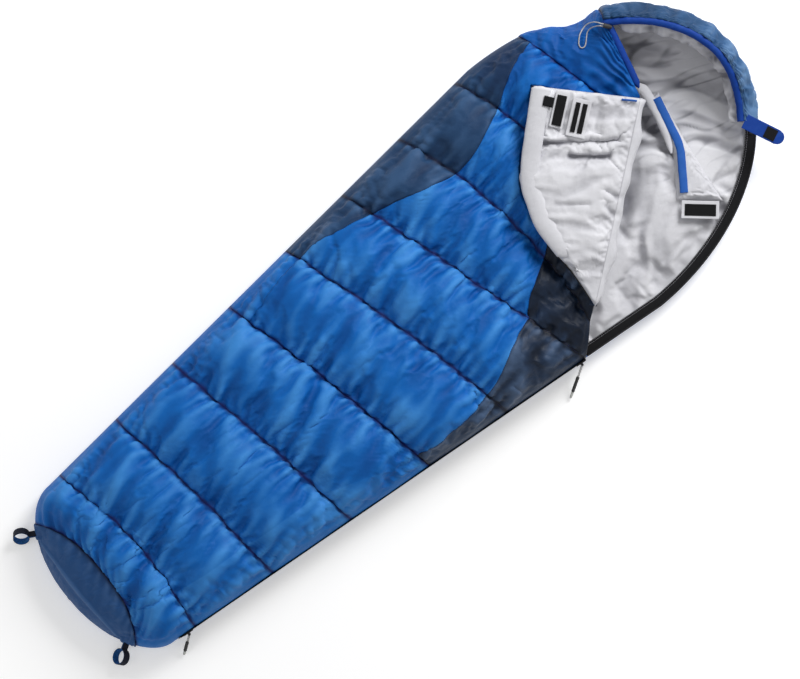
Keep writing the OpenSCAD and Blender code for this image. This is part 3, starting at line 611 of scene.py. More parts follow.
class Nodes:
    """Short hand for building one material's nodes."""

    def __init__(self, name):
        self.material = bpy.data.materials.new(name)
        self.material.use_nodes = True
        self.tree = self.material.node_tree
        self.shader = self.tree.nodes["Principled BSDF"]
        self.place = self.make("ShaderNodeTexCoord").outputs["Object"]

    def make(self, kind, **values):
        node = self.tree.nodes.new(kind)
        for key, value in values.items():
            if key in node.bl_rna.properties:
                setattr(node, key, value)
            else:
                self.put(node.inputs[key.replace("_", " ")], value)
        return node

    def put(self, socket, value):
        if isinstance(value, bpy.types.NodeSocket):
            self.tree.links.new(value, socket)
        else:
            socket.default_value = value

    def math(self, operation, a, b=0.0, c=0.0):
        node = self.make("ShaderNodeMath", operation=operation)
        for socket, value in zip(node.inputs, (a, b, c)):
            self.put(socket, value)
        return node.outputs[0]

    def noise(self, scale, detail=3.0, stretch=(1, 1, 1)):
        mapping = self.make("ShaderNodeMapping", Vector=self.place, Scale=stretch)
        texture = self.make("ShaderNodeTexNoise", Vector=mapping.outputs[0], Scale=scale, Detail=detail)
        return texture.outputs["Fac"]

    def wave(self, period, direction):
        scale = 2 * math.pi / (20 * period)
        texture = self.make("ShaderNodeTexWave", Vector=self.place, Scale=scale, bands_direction=direction)
        return texture.outputs["Fac"]

    def value(self, name):
        return self.make("ShaderNodeAttribute", attribute_name=name).outputs["Fac"]

    def mix(self, share, a, b):
        node = self.make("ShaderNodeMix", data_type="RGBA")
        self.put(node.inputs[0], share)
        self.put(node.inputs[6], a)
        self.put(node.inputs[7], b)
        return node.outputs[2]

    def spread(self, value, low, high, to_low=0.0, to_high=1.0):
        node = self.make("ShaderNodeMapRange")
        for socket, number in zip(node.inputs, (value, low, high, to_low, to_high)):
            self.put(socket, number)
        return node.outputs[0]

    def bump(self, height, strength, distance, below=None):
        node = self.make("ShaderNodeBump", Height=height, Strength=strength, Distance=distance)
        if below is not None:
            self.put(node.inputs["Normal"], below)
        return node.outputs[0]

    def set(self, **values):
        for key, value in values.items():
            self.put(self.shader.inputs[key.replace("_", " ")], value)
        return self.material


def woven_cloth(name, colour, deep, light, roughness, sheen, seam=None, weave=0.0012):
    """Plain-woven cloth: threads both ways, paler in random patches, with painted highlight on the crests and
    painted shade in the folds and seam grooves.
    """
    n = Nodes(name)
    patchy = n.spread(n.noise(5.0), 0.35, 0.65, 0.0, 0.25)
    tone = n.mix(patchy, linear(*colour), linear(*deep))
    worn = n.spread(n.noise(38.0, 4.0, (1, 0.45, 1)), 0.55, 0.75, 0.0, 0.2)
    tone = n.mix(worn, tone, linear(*light))
    # Painted light and shade: towards the light colour where the value is above 0, towards the deep colour where
    # it is below 0
    crest = n.value("crest")
    tone = n.mix(n.spread(crest, 0.0, 1.0, 0.0, 0.7), tone, linear(*light))
    tone = n.mix(n.spread(crest, 0.0, -1.0, 0.0, 0.9), tone, linear(*deep))
    # Painted shade in the seam grooves, in the seam colour
    if seam:
        tone = n.mix(n.value("seam"), tone, linear(*seam))
    threads = n.math("ADD", n.wave(weave, "X"), n.wave(weave, "Y"))
    fine = n.bump(threads, 0.25, 0.0003)
    crumple = n.bump(n.noise(95.0, 4.0, (1, 0.6, 1)), 0.35, 0.004, fine)
    rough = n.spread(n.noise(60.0), 0.3, 0.7, roughness - 0.06, roughness + 0.06)
    return n.set(Base_Color=tone, Roughness=rough, Normal=crumple, Sheen_Weight=sheen, Sheen_Roughness=0.4,
                 Specular_IOR_Level=0.13)


def tape_cloth(name, colour, period):
    """Ribbed tape, webbing or hook pile: raised ribs across close threads."""
    n = Nodes(name)
    fleck = n.noise(900.0, 2.0)
    dark = linear(*[0.6 * c for c in colour])
    pale = linear(*[min(255, 1.5 * c + 6) for c in colour])
    tone = n.mix(n.spread(fleck, 0.35, 0.7), dark, pale)
    ribs = n.math("ADD", n.wave(period, "X"), n.wave(period * 0.6, "Y"))
    pile = n.math("MULTIPLY_ADD", fleck, 0.8, ribs)
    return n.set(Base_Color=tone, Roughness=0.82, Normal=n.bump(pile, 0.6, 0.0006), Sheen_Weight=0.05,
                 Specular_IOR_Level=0.15)


def moulded(name, colour, roughness, metallic=0.0):
    """Moulded plastic, rubber or painted metal with fine scuffs."""
    n = Nodes(name)
    scuff = n.spread(n.noise(420.0, 5.0), 0.55, 0.75)
    pale = linear(*[min(255, 1.35 * c + 14) for c in colour])
    tone = n.mix(scuff, linear(*colour), pale)
    rough = n.spread(scuff, 0.0, 1.0, roughness, min(1.0, roughness + 0.25))
    grain = n.bump(n.noise(1500.0, 2.0), 0.15, 0.0002)
    return n.set(Base_Color=tone, Roughness=rough, Normal=grain, Metallic=metallic)


# In each cloth the deep and light colours also serve as painted shade in folds and painted highlight on crests;
# the last colour, where given, is the painted shade of the seam grooves
shell_blue = woven_cloth("shell_blue", (18, 104, 188), (8, 76, 150), (72, 150, 224), 0.5, 0.0, (16, 10, 78))
shell_slate = woven_cloth("shell_slate", (34, 64, 100), (22, 44, 76), (66, 98, 138), 0.5, 0.0, (14, 18, 40))
shell_foot = woven_cloth("shell_foot", (42, 84, 138), (28, 60, 108), (90, 126, 176), 0.5, 0.0, (12, 14, 34))
shell_crown = woven_cloth("shell_crown", (54, 92, 136), (28, 58, 92), (116, 152, 192), 0.46, 0.0,
                          (16, 22, 52))
shell_navy = woven_cloth("shell_navy", (34, 50, 74), (16, 24, 38), (82, 104, 136), 0.36, 0.0, (10, 12, 24))
royal_blue = woven_cloth("royal_blue", (22, 64, 150), (10, 42, 110), (62, 110, 186), 0.55, 0.0)
piping_blue = woven_cloth("piping_blue", (46, 98, 180), (26, 66, 146), (84, 136, 202), 0.55, 0.0)
lining_grey = woven_cloth("lining_grey", (212, 212, 217), (112, 112, 120), (236, 236, 240), 0.62, 0.1)
lining_white = woven_cloth("lining_white", (222, 222, 227), (134, 134, 142), (240, 240, 244), 0.6, 0.1)
zip_tape_black = tape_cloth("zip_tape_black", (18, 18, 20), 0.0016)
hook_black = tape_cloth("hook_black", (12, 12, 14), 0.0022)
webbing_black = tape_cloth("webbing_black", (22, 26, 38), 0.0025)
webbing_blue = tape_cloth("webbing_blue", (30, 84, 140), 0.0025)
cord_white = tape_cloth("cord_white", (206, 206, 202), 0.0014)
coil_black = moulded("coil_black", (22, 22, 25), 0.38)
slider_black = moulded("slider_black", (26, 26, 29), 0.32, 0.6)
grip_black = moulded("grip_black", (24, 24, 26), 0.6)
tip_pale = moulded("tip_pale", (200, 202, 196), 0.45)
thread_navy = tape_cloth("thread_navy", (14, 24, 74), 0.0012)
thread_grey = tape_cloth("thread_grey", (150, 150, 156), 0.0012)


# Drawcord tail: a doubled loop that leaves the cord lock on the hem
lock_low, lock_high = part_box("cord_lock_body")
lock_centre = np.array((lock_low + lock_high) / 2)
lock_axis = np.array(joints["lock_plunger_press"]["axis"])
lock_across = np.array([-lock_axis[1], lock_axis[0], 0.0])
lock_half = 0.008
tail_route = np.array([
    [0, -3, 0], [6, -3, 0], [13, -4, -3], [20, -5, -11], [26, -5, -22], [31, -4, -34], [36, -2, -44],
    [41, 3, -49], [45, 11, -49], [48, 20, -45], [50, 30, -41], [50, 39, -38], [49, 48, -36], [47, 56, -35],
    [42, 62, -34], [35, 62, -32], [31, 56, -31], [31, 47, -32], [32, 38, -34], [33, 29, -37], [33, 21, -40],
    [31, 14, -39], [27, 9, -32], [21, 6, -20], [14, 4, -8], [7, 3, -1], [0, 3, 0],
]) / 1000
tail_points = lock_centre + (lock_half + tail_route[:, :1]) * lock_axis + tail_route[:, 1:2] * lock_across
tail_points[:, 2] += tail_route[:, 2]
tail_steps = 4
tail_path = curve(tail_points, (len(tail_points) - 1) * tail_steps + 1)
tail = add_tube("tail_cord", round_rings(tail_path, cord_diameter / 2, 10), cord_white, "bag",
                ["drawcord_tail"], "cord")


# Flap in plan: a runs along the fold line, b to the left of it, h up from the fold axis
flap_reach = 0.272
flap_gap = 0.0037
flap_low = 0.0003
flap_middle = flap_low + wall / 2
flap_top = flap_low + wall
flap_first = 0.19
flap_last = 0.985
flap_scale = np.array([fold_length, flap_reach])
flap_shares = [[0.21, 0.06], [0.29, 0.27], [0.345, 0.45], [0.425, 0.68], [0.495, 0.80], [0.62, 0.935],
               [0.945, 1]]
flap_curve = curve(np.array(flap_shares) * flap_scale, 121)
cover_root = np.array([0.945, 0.72]) * flap_scale
cover_size = (0.092, 0.034)


def on_fold(a, b, h):
    a, b, h = np.broadcast_arrays(a, b, h)
    return fold_pivot + a[..., None] * fold_dir + b[..., None] * fold_left + h[..., None] * upward


def from_fold(points):
    """How far points lie along the fold line and to the left of it."""
    return (points - fold_pivot) @ fold_dir, (points - fold_pivot) @ fold_left


def surface_tree(grid):
    return BVHTree.FromPolygons(grid.reshape(-1, 3).tolist(), grid_faces(*grid.shape[:2]).tolist())


def laid(plan, lift, tree):
    """Points over a surface at a grid of places a, b: a smoothed copy of its height, nowhere below it."""
    high = on_fold(plan[..., 0], plan[..., 1], 0.1)
    ground = np.array([tree.ray_cast(Vector(p), Vector((0, 0, -1)))[0].z for p in high.reshape(-1, 3)])
    ground = ground.reshape(plan.shape[:2])
    level = ground.copy()
    for _ in range(12):
        padded = np.pad(level, 1, mode="edge")
        level = (padded[:-2, 1:-1] + padded[2:, 1:-1] + padded[1:-1, :-2] + padded[1:-1, 2:]) / 4
    level += max(0.0, float((ground - level).max())) + lift
    high[..., 2] = level
    return high


def under_flap(points, margin):
    """Which points lie under the open flap, or within a margin of it."""
    a, b = from_fold(points)
    edge_a = [*flap_curve[:, 0], flap_last * fold_length]
    edge_b = [*flap_curve[:, 1], 0]
    reach = np.interp(a, edge_a, edge_b, left=-1, right=-1)
    return (b > -margin) & (b < reach + margin)


# Folds and gathers of cloth: heights to add to a grid
def gathered(grid, distance, depth, period, reach, seed):
    """Small gathers beside a seam: distance is how far each point is from it."""
    step = np.linalg.norm(np.diff(grid, axis=1), axis=-1)
    along = np.concatenate([np.zeros((len(grid), 1)), np.cumsum(step, axis=1)], axis=1)
    swing = 2.2 * ripple(grid, 18, seed)
    fade = np.exp(-distance / reach) * (1 - np.exp(-distance / 0.004))
    strength = 0.6 + 0.6 * ripple(grid, 9, seed + 5)
    return depth * fade * strength * np.sin(2 * math.pi * along / period + swing)


def creased(grid, depth, seed, stretch=(1, 1, 1)):
    """Fine folds of thin cloth, in two sizes."""
    wide = crease(grid, 16 * np.asarray(stretch), seed)
    fine = crease(grid, 42 * np.asarray(stretch), seed + 7)
    return depth * (0.65 * wide + 0.35 * fine)


def broad_folds(grid, depth, seed, slant=0.45):
    """Long soft folds that run up the bag at a slant."""
    across = grid[..., 0] + slant * grid[..., 1]
    along = grid[..., 1] - slant * grid[..., 0]
    return depth * ripple(np.stack([across, along, 0 * along], -1), (24, 7, 0), seed)


def headed(grid, heading, seed):
    """Places along and across a heading, in degrees from +X, that wander a little."""
    turn = math.radians(heading)
    along = grid[..., 0] * math.cos(turn) + grid[..., 1] * math.sin(turn)
    across = grid[..., 1] * math.cos(turn) - grid[..., 0] * math.sin(turn) + 0.03 * ripple(grid, 9, seed + 3)
    return np.stack([along, across, 0 * along], -1)


def pinched(grid, heading, seed):
    """Narrow creases of loose lining that run along one heading, from 0 to 1."""
    return np.clip(2.2 * crease(headed(grid, heading, seed), (9, 26, 0), seed) - 1, 0, 1)


def folded(grid, depth, heading, seed):
    """Folds of loose lining that run along one heading."""
    place = headed(grid, heading, seed)
    wave = ripple(place, (5, 21, 0), seed) + 0.5 * ripple(place, (12, 46, 0), seed + 1)
    return depth * np.tanh(2.4 * wave)


# Upper wall: legs, chest and the two side panels, sewn through at each seam
channel_rows = 26
side_steps = 12
middle_steps = 60
edge_hold = 0.022
edge_calm = 0.040
seam_wander = 0.0045
channel_length = 0.2
flap_margin = 0.006
wall_rows = np.linspace(0, channels, channels * channel_rows + 1)
wall_columns = np.concatenate([
    np.linspace(0, side_columns, side_steps, endpoint=False),
    np.linspace(side_columns, columns - side_columns, middle_steps, endpoint=False),
    np.linspace(columns - side_columns, columns, side_steps + 1),
])
wall_grid = top_outer(wall_rows[:, None], wall_columns[None, :])
uneven(wall_grid, 3.0)
wall_place = row_place(wall_rows[:, None], wall_columns[None, :])
wall_edge = np.minimum(wall_place, row_width(wall_rows)[:, None] - wall_place)
wall_inside = smooth(wall_edge / 0.08) * smooth(np.minimum(wall_rows, channels - wall_rows) / 0.3)[:, None]
wall_grid[..., 1] += seam_wander * wall_inside * ripple(wall_grid, (26, 7, 0), 1.0)
wall_held = wall_edge < edge_hold
wall_held[::channel_rows] = True
wall_grid = relaxed(wall_grid, wall_held, excess=0.05, pressure=2.0, cap=0.014)

wall_fine = finer(wall_grid)
fine_rows = np.linspace(0, channels, len(wall_fine))
past_seam = fine_rows - np.round(fine_rows)
seam_gap = np.abs(past_seam)[:, None] * channel_length + np.zeros(wall_fine.shape[1])
side_seam_row = 4 * 2 * channel_rows
leaf_row = 5 * 2 * channel_rows
left_seam = 2 * side_steps
right_seam = wall_fine.shape[1] - 1 - 2 * side_steps
legs = slice(0, side_seam_row + 1)
chest = slice(side_seam_row, None)
leaf = slice(leaf_row, None)
left_side = slice(0, left_seam + 1)
right_side = slice(right_seam, None)
wall_lift = gathered(wall_fine, seam_gap, depth=0.0075, period=0.034, reach=0.046, seed=2.0)
wall_lift += broad_folds(wall_fine, 0.011, 5.0) + creased(wall_fine, 0.0018, 4.0, (1, 0.6, 1))
wall_lift[chest, right_side] += creased(wall_fine[chest, right_side], 0.0035, 9.0, (1.4, 1.4, 1))
wall_lift *= smooth(finer_values(wall_edge) / edge_calm)
wall_fine = pushed(wall_fine, wall_lift * np.minimum(1, seam_gap / 0.008))
wall_ceiling = np.where(under_flap(wall_fine, flap_margin), fold_height - cloth, 1.0)
wall_fine[..., 2] = np.minimum(wall_fine[..., 2], wall_ceiling)
# Painted shade in the seam grooves, a painted highlight along the foot side of each seam, painted light and shade
# by fold height, painted shade over the last channel below the neck, and on the right side panel painted light low
# down turning to painted shade near the flap
wall_seam_shade = bell(seam_gap, 0.0050)
seam_side_highlight = 0.5 * bell(past_seam + 0.075, 0.035)[:, None]
wall_crest = wall_lift / 0.0065 + seam_side_highlight - 0.9 * smooth(fine_rows - channels + 1.2)[:, None]
wall_crest[:, right_side] += lerp(0.35, -0.9, smooth((fine_rows - 5.2) / 1.2))[:, None]


def wall_panel(name, rows, cols, material, replaces, slot):
    add_cloth(name, wall_fine[rows, cols], material, "bag", replaces, slot, 0.6,
              seam=wall_seam_shade[rows, cols], crest=wall_crest[rows, cols])


wall_panel("legs_cover", legs, slice(None), shell_blue, ["leg_shell", "top_fill"], "shell_blue")
wall_panel("chest_cover", chest, slice(left_seam, right_seam + 1), shell_blue, ["chest_shell"], "shell_blue")
wall_panel("left_leg_strip", slice(side_seam_row, leaf_row + 1), left_side, shell_blue, [], "shell_blue")
wall_panel("left_side_cover", leaf, left_side, shell_slate, ["left_side_shell"], "shell_slate")
wall_panel("right_side_cover", chest, right_side, shell_navy, ["right_side_shell"], "shell_slate")


# Lining of the upper wall, carried round its edges to end just inside the cover
rim_inset = 0.005
lining_rows = np.linspace(0, channels, channels * 14 + 1)[:, None]
lining_grid = np.concatenate([
    top_outer(lining_rows, columns),
    top_inner(lining_rows, np.linspace(columns, 0, 49)[None, :]),
    top_outer(lining_rows, 0),
], axis=1)
lining_grid[:, 1:-1] = pushed(lining_grid, creased(lining_grid, 0.0025, 11.0))[:, 1:-1]
lining_grid[:, 0, 0] -= rim_inset
lining_grid[:, -1, 0] += rim_inset
add_cloth("inner_lining", lining_grid, lining_grey, "bag", ["top_lining"], "lining_grey", 0.5)


# Foot panel, from the edge of the underside up to the first seam
foot_half = 0.150
foot_panel_height = 0.11


def foot_surface(w, c):
    w, c = np.broadcast_arrays(w, c)
    first = np.zeros_like(c)
    high = top_outer(first, c)
    u = row_place(first, c) / row_width(first)
    half = lerp(foot_half, float(edge_x(foot_seam)), w)
    low_y = foot_y(lerp(-foot_half, foot_half, u))
    x = lerp(lerp(-half, half, u) + middle_x, high[..., 0], w * w)
    y = lerp(low_y + foot_line, high[..., 1], w)
    z = lerp(base_top, high[..., 2], np.sin(math.pi / 2 * w))
    return np.stack([x, y, z], -1)


foot_grid = foot_surface(np.linspace(0, 1, 22)[:, None], wall_columns[None, :])
foot_fine = finer(relaxed(foot_grid, rim_marked(foot_grid), excess=0.02, pressure=1.5, cap=0.008))
foot_share = np.linspace(0, 1, len(foot_fine))[:, None] + np.zeros(foot_fine.shape[1])
foot_gap = (1 - foot_share) * foot_panel_height
foot_lift = gathered(foot_fine, foot_gap, depth=0.006, period=0.036, reach=0.018, seed=6.0)
foot_lift = foot_lift + creased(foot_fine, 0.0012, 8.0)
foot_ridge = bell(foot_share - 0.36 - 0.03 * ripple(foot_fine, 6, 9.0), 0.03)
foot_lift = foot_lift + 0.004 * foot_ridge
foot_fine = pushed(foot_fine, foot_lift * np.minimum(1, foot_gap / 0.006))
# Painted shade along the first seam, painted light and shade by fold height, and a painted highlight along the
# ridge
add_cloth("foot_cover", foot_fine, shell_foot, "bag",
          ["foot_panel_shell", "foot_panel_fill", "foot_panel_lining"], "shell_slate", 0.6,
          seam=bell(foot_gap, 0.006), crest=foot_lift / 0.006 + 0.3 * foot_ridge)


# Hood: blue cheek, slate crown and their lining
hood_sag = 0.040
hood_row_step = 0.0045
hood_reach = 0.2
cheek_rows = 34
crown_rows = 66
corner_row = 2 * cheek_rows
hood_columns = np.linspace(0, 1, 34)[None, :]
hood_rows = np.concatenate([
    np.linspace(neck_angle, crown_angle, cheek_rows, endpoint=False),
    np.linspace(crown_angle, hood_end_angle, crown_rows + 1),
])[:, None]
hood_grid = hood_surface(hood_rows, hood_columns, False)
uneven(hood_grid, 13.0)
hood_held = rim_marked(hood_grid)
hood_held[cheek_rows] = True
hood_held[:, 1:3] = True
hood_fine = finer(relaxed(hood_grid, hood_held, excess=0.05, pressure=1.5, cap=0.012))
hood_number = np.arange(len(hood_fine))[:, None]
seam_number = np.minimum(hood_number, np.abs(hood_number - corner_row))
hood_gap = seam_number * hood_row_step + np.zeros(hood_fine.shape[1])
hem_gap = (1 - np.linspace(0, 1, hood_fine.shape[1]))[None, :] * hood_reach + 0 * hood_number
hood_lift = gathered(hood_fine.swapaxes(0, 1), hem_gap.T, depth=0.006, period=0.030, reach=0.05, seed=15.0).T
hood_lift = hood_lift + creased(hood_fine, 0.0016, 16.0) + broad_folds(hood_fine, 0.008, 17.0)
hood_fine = pushed(hood_fine, hood_lift * np.minimum(1, np.minimum(hood_gap, hem_gap) / 0.006))
tail_marks = tail_path[::tail_steps]
tail_near = np.linalg.norm(hood_fine[:, :, None, :2] - tail_marks[None, None, :, :2], axis=-1)
tail_floor = tail_marks[:, 2][tail_near.argmin(axis=2)] - cord_diameter / 2 - clear
tail_ceiling = tail_floor + 0.6 * np.maximum(0, tail_near.min(axis=2) - 0.006)
hood_fine[..., 2] = np.minimum(hood_fine[..., 2], tail_ceiling)
# Painted shade in the seam grooves, painted light and shade by fold height, painted shade over the whole cheek,
# and on the crown painted shade that turns to painted light towards its far end
hood_seam_shade = bell(hood_gap, 0.0035)
crown_shade = lerp(-1.0, 0.3, smooth((hood_number / hood_number[-1] - 0.45) / 0.4))
hood_crest = hood_lift / 0.008 + np.where(hood_number < corner_row, -0.9, crown_shade)


def hood_panel(name, rows, material, replaces, slot):
    add_cloth(name, hood_fine[rows], material, "bag", replaces, slot, 0.6,
              seam=hood_seam_shade[rows], crest=hood_crest[rows])


hood_panel("cheek_cover", slice(0, corner_row + 1), shell_blue, ["hood_cheek_shell", "hood_fill"],
           "shell_blue")
hood_panel("crown_cover", slice(corner_row, None), shell_crown, ["hood_crown_shell"], "shell_slate")
inner_hood = np.concatenate([
    hood_surface(hood_rows, np.ones((1, 1)), False),
    hood_surface(hood_rows, hood_columns[:, ::-1], True),
    hood_surface(hood_rows, np.zeros((1, 1)), False),
], axis=1)
inner_hood[:, -1, :2] -= rim_inset * hood_outward(hood_rows[:, 0])
inner_share = np.concatenate([[0], hood_columns[0], [1]])[None, :]
inner_sag = hood_sag * np.sin(math.pi * np.clip(inner_share / 0.9, 0, 1))
inner_sag = inner_sag * smooth((hood_rows - crown_angle) / 0.15)
inner_hood[..., :2] -= inner_sag[..., None] * hood_outward(hood_rows)
inner_hood = finer(inner_hood)
inner_hood[:, -2] = (inner_hood[:, -3] + inner_hood[:, -1]) / 2
tucked = 0.009 * np.array([1, 1, 0.8, 0.6, 0.4, 0.2])
inner_hood[:, :len(tucked), 2] -= tucked
inner_count = np.arange(inner_hood.shape[1])
inner_fade = smooth(np.minimum(inner_count - 3, inner_count[::-1] - 3) / 10)
inner_fold = inner_fade * (creased(inner_hood, 0.009, 18.0, (1.3, 1.3, 0.3)) - 0.003)
# Painted light and shade by the height of its folds
add_cloth("hood_inside", pushed(inner_hood, inner_fold), lining_grey, "bag", ["hood_lining"], "lining_grey",
          0.5, crest=inner_fold / 0.005)


# Open half of the zip in plan: a band along the right edge, up to the hood
band_width = 0.030
band_y = np.linspace(zip_top + 0.010, shoulder_station, 30)
band_angles = np.linspace(math.pi, hood_end_angle + math.radians(1.5), 90)
band_edge = np.concatenate([np.stack([edge_x(band_y), band_y], -1), hood_point(band_angles)[1:]])
edge_out = np.array([zip_dir[1], -zip_dir[0]])
band_out = np.concatenate([np.tile(edge_out, (len(band_y), 1)), hood_outward(band_angles)[1:]])


# Underside: a rounded quilted pad, closed at both ends by its outer rows, and the lining on it inside the bag
def outline_stations(foot_count, side_step, hood_count):
    foot = foot_round - foot_depth * np.cos(np.linspace(0.02, math.pi / 2, foot_count, endpoint=False))
    side = np.arange(foot_round, shoulder_station, side_step)
    hood = shoulder_station + hood_round * np.sin(np.linspace(0, math.pi / 2 - 0.03, hood_count))
    return np.concatenate([foot, side, hood])


pad_round = 0.010
pad_quilt = 0.165
pad_groove = 0.006
pad_end_drop = 0.002
side_turn = np.linspace(math.pi / 2, -math.pi / 2, 9)
pad_stations = outline_stations(14, 0.012, 40)
pad_y = np.concatenate([pad_stations[:1], pad_stations, pad_stations[-1:]])[:, None]
pad_right = edge_x(pad_y) - pad_round
pad_left = left_x(pad_y) + pad_round
pad_turn_x = pad_round * np.cos(side_turn)
pad_right_z = base_top / 2 * (1 + np.sin(side_turn)) + 0 * pad_y
pad_flat = np.linspace(1, -1, 42)[1:-1]
pad_under_x = lerp(pad_left, pad_right, 0.5 + 0.5 * pad_flat)
pad_dip = bell((pad_y / pad_quilt - np.round(pad_y / pad_quilt)) * pad_quilt, 0.010)
pad_under_z = pad_groove * pad_dip * (1 - np.abs(pad_flat) ** 8) + 0 * pad_under_x
pad_x = np.concatenate([pad_right + pad_turn_x, pad_under_x, pad_left - pad_turn_x[::-1]], axis=1)
pad_z = np.concatenate([pad_right_z, pad_under_z, pad_right_z[:, ::-1]], axis=1)
pad_grid = in_frame(pad_x, pad_y, pad_z)
pad_grid[[0, -1], :, 2] = base_top - pad_end_drop
# Painted shade in the quilting grooves
add_cloth("underside", pad_grid, shell_blue, "bag", ["base_shell", "base_fill"], "shell_blue", 0.7,
          seam=(pad_dip + 0 * pad_x) ** 4)

floor_level = base_top - 0.011
floor_y = outline_stations(8, 0.0095, 62)[:, None]
floor_across = np.linspace(-1, 1, 78)[None, :]
floor_x = lerp(left_x(floor_y) + pad_round, edge_x(floor_y) - pad_round, 0.5 + 0.5 * floor_across)
floor_end = smooth((floor_y - shoulder_station) / hood_round) - smooth((foot_round - floor_y) / foot_depth)
floor_grid = in_frame(floor_x, floor_y - pad_round * floor_end, floor_level + 0.008 * floor_across ** 8)
floor_grid[..., 2] += 0.0012 * ripple(floor_grid, 20, 21.0)
floor_held = rim_marked(floor_grid)
for seam_y in np.arange(0.20, bag_length - 0.1, 0.24):
    floor_held[int(np.argmin(np.abs(floor_y[:, 0] - seam_y)))] = True
floor_grid = finer(relaxed(floor_grid, floor_held, excess=0.05, pressure=1.2, cap=0.012))
floor_edge = np.clip(1.2 - np.abs(np.linspace(-1, 1, floor_grid.shape[1])) ** 12, 0, 1)
in_hood = smooth((floor_grid[..., 1] - foot_line - shoulder_station - 0.12) / 0.15)
leg_folds = folded(floor_grid, depth=0.008, heading=130, seed=24.0)
hood_folds = folded(floor_grid, depth=0.013, heading=45, seed=23.0)
floor_lift = lerp(leg_folds, hood_folds, in_hood) + creased(floor_grid, 0.0025, 25.0, (1, 1, 0))
floor_lift = floor_edge * floor_lift
# Beside the flap's fold the lining dips and also gets a painted shadow; in the hood its pinched creases dip and
# also get painted shade
fold_run, fold_beside = from_fold(floor_grid)
fold_share = fold_run / fold_length
by_fold = bell(-fold_beside - 0.02, 0.04) * smooth((fold_share - 0.4) / 0.2)
by_fold = by_fold * smooth((1.0 - fold_share) / 0.1)
hood_pinch = in_hood * pinched(floor_grid, heading=70, seed=27.0)
floor_lift = floor_lift - 0.006 * by_fold - 0.003 * floor_edge * hood_pinch
floor_grid[..., 2] += floor_lift
band_points = over(band_edge, 0.0)[::3, :2]
band_gap = np.linalg.norm(floor_grid[:, :, None, :2] - band_points, axis=-1).min(axis=2)
floor_top = np.where(band_gap < band_width + 0.006, base_top - 0.003, base_top + 0.004)
floor_grid[..., 2] = np.minimum(floor_grid[..., 2], floor_top)
# Painted light and shade by fold height, paler overall and more so in the hood, with the painted shadow by the
# fold and painted shade in the hood's creases
floor_crest = floor_lift / lerp(0.020, 0.013, in_hood) + lerp(0.40, 0.65, in_hood)
add_cloth("floor_lining", floor_grid, lining_grey, "bag", ["base_lining"], "lining_grey", 0.5,
          crest=floor_crest - 0.9 * by_fold - 1.3 * hood_pinch)


# Hem of the hood: a gathered blue tube around the drawcord
hem_half = 0.0098
hem_half_height = 0.0088
hem_reach = 0.0078
hem_drop = 0.0075
hem_turn = np.linspace(fold_end_angle + math.radians(1.5), hood_end_angle, 260)
cheek_line = unit(hem_point(np.array(crown_angle)) - hem_point(np.array(fold_end_angle)))
cheek_inward = np.array([cheek_line[1], -cheek_line[0]])
corner_share = smooth((hem_turn - crown_angle) / math.radians(3) + 0.5)[:, None]
hem_inward = unit(lerp(cheek_inward, -hood_outward(hem_turn), corner_share))
hem_path = evenly(over(hem_point(hem_turn) + hem_reach * hem_inward, hem_height(hem_turn) - hem_drop), 520)
hem_close = np.sqrt(np.clip(np.arange(len(hem_path)) / 14, 0.05, 1))
hem_rings = tube_grid(hem_path, hem_half * hem_close, hem_half_height * hem_close, 24)
hem_gather = 0.0009 * ripple(hem_rings, 55, 26.0) + 0.0005 * ripple(hem_rings, 120, 27.0)
hem_rings = swollen(hem_rings, hem_path, hem_gather * hem_close[:, None])
cord_rings = round_rings(hem_path[::4], cord_diameter / 2, 8)
add_tube("hem_cord", cord_rings, cord_white, "bag", ["hood_drawcord"], "cord")
add_tube("hem", hem_rings, royal_blue, "bag", ["hood_hem"], "shell_blue")


# Stitches along lines of points, each a short thread that dips in at both ends
stitch_length = 0.0038
stitch_radius = 0.0005


def stitches(name, lines, material, pitch):
    points = []
    quads = []
    count = 0
    for line, normal in lines:
        run = run_of(line)
        for start in np.arange(pitch / 2, run[-1] - stitch_length, pitch):
            places = start + stitch_length * np.array([0.0, 0.3, 0.7, 1.0])
            lift = stitch_radius * np.array([-0.6, 0.7, 0.7, -0.6])
            path = read_along(line, run, places) + read_along(normal, run, places) * lift[:, None]
            p, q = tube_solid(round_rings(path, stitch_radius, 6))
            points.append(p)
            quads.append(q + count)
            count += len(p)
    add_piece(name, np.concatenate(points), np.concatenate(quads), material, "bag", [], "cord")


wall_up = grid_normals(wall_fine)
seam_rows = [k * 2 * channel_rows for k in range(1, channels)]
seam_lines = [(wall_fine[k, 6:-6], wall_up[k, 6:-6]) for k in seam_rows]
side_lines = [(wall_fine[rows, k], wall_up[rows, k]) for rows, k in ((leaf, left_seam), (chest, right_seam))]
stitches("wall_stitches", seam_lines + side_lines, thread_navy, 0.0055)


# Zip: tapes, sliders and stops keep their shape from the frame; the coils become rows of teeth
coil_radius = 0.0016
coil_wire = 0.00055
coil_clear = 0.0003
tooth_pitch = 0.0032
tooth_steps = 7


def teeth(name, path, body, replaces):
    """A coil: one turn of wire for each tooth along a path."""
    length = run_of(path)[-1]
    steps = int(length / tooth_pitch * tooth_steps)
    line = evenly(path, steps)
    across, above = path_axes(line)
    turn = 2 * math.pi * np.linspace(0, length, steps) / tooth_pitch
    reach = coil_radius - coil_wire
    line = line + reach * (np.cos(turn)[:, None] * across + np.sin(turn)[:, None] * above)
    add_tube(name, round_rings(line, coil_wire, 4), coil_black, body, replaces, "zip_coil")


def along_zip(node):
    """The line through the middle of a straight node beside the closed zip."""
    low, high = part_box(node)
    centre = np.array((low + high) / 2)
    half = (high.y - low.y) / 2 / zip_dir[1]
    return np.stack([centre - zip_dir * half, centre + zip_dir * half])


for tape in ("base", "top"):
    teeth(f"zip_{tape}_teeth", along_zip(f"zip_{tape}_coil"), "bag", [f"zip_{tape}_coil"])

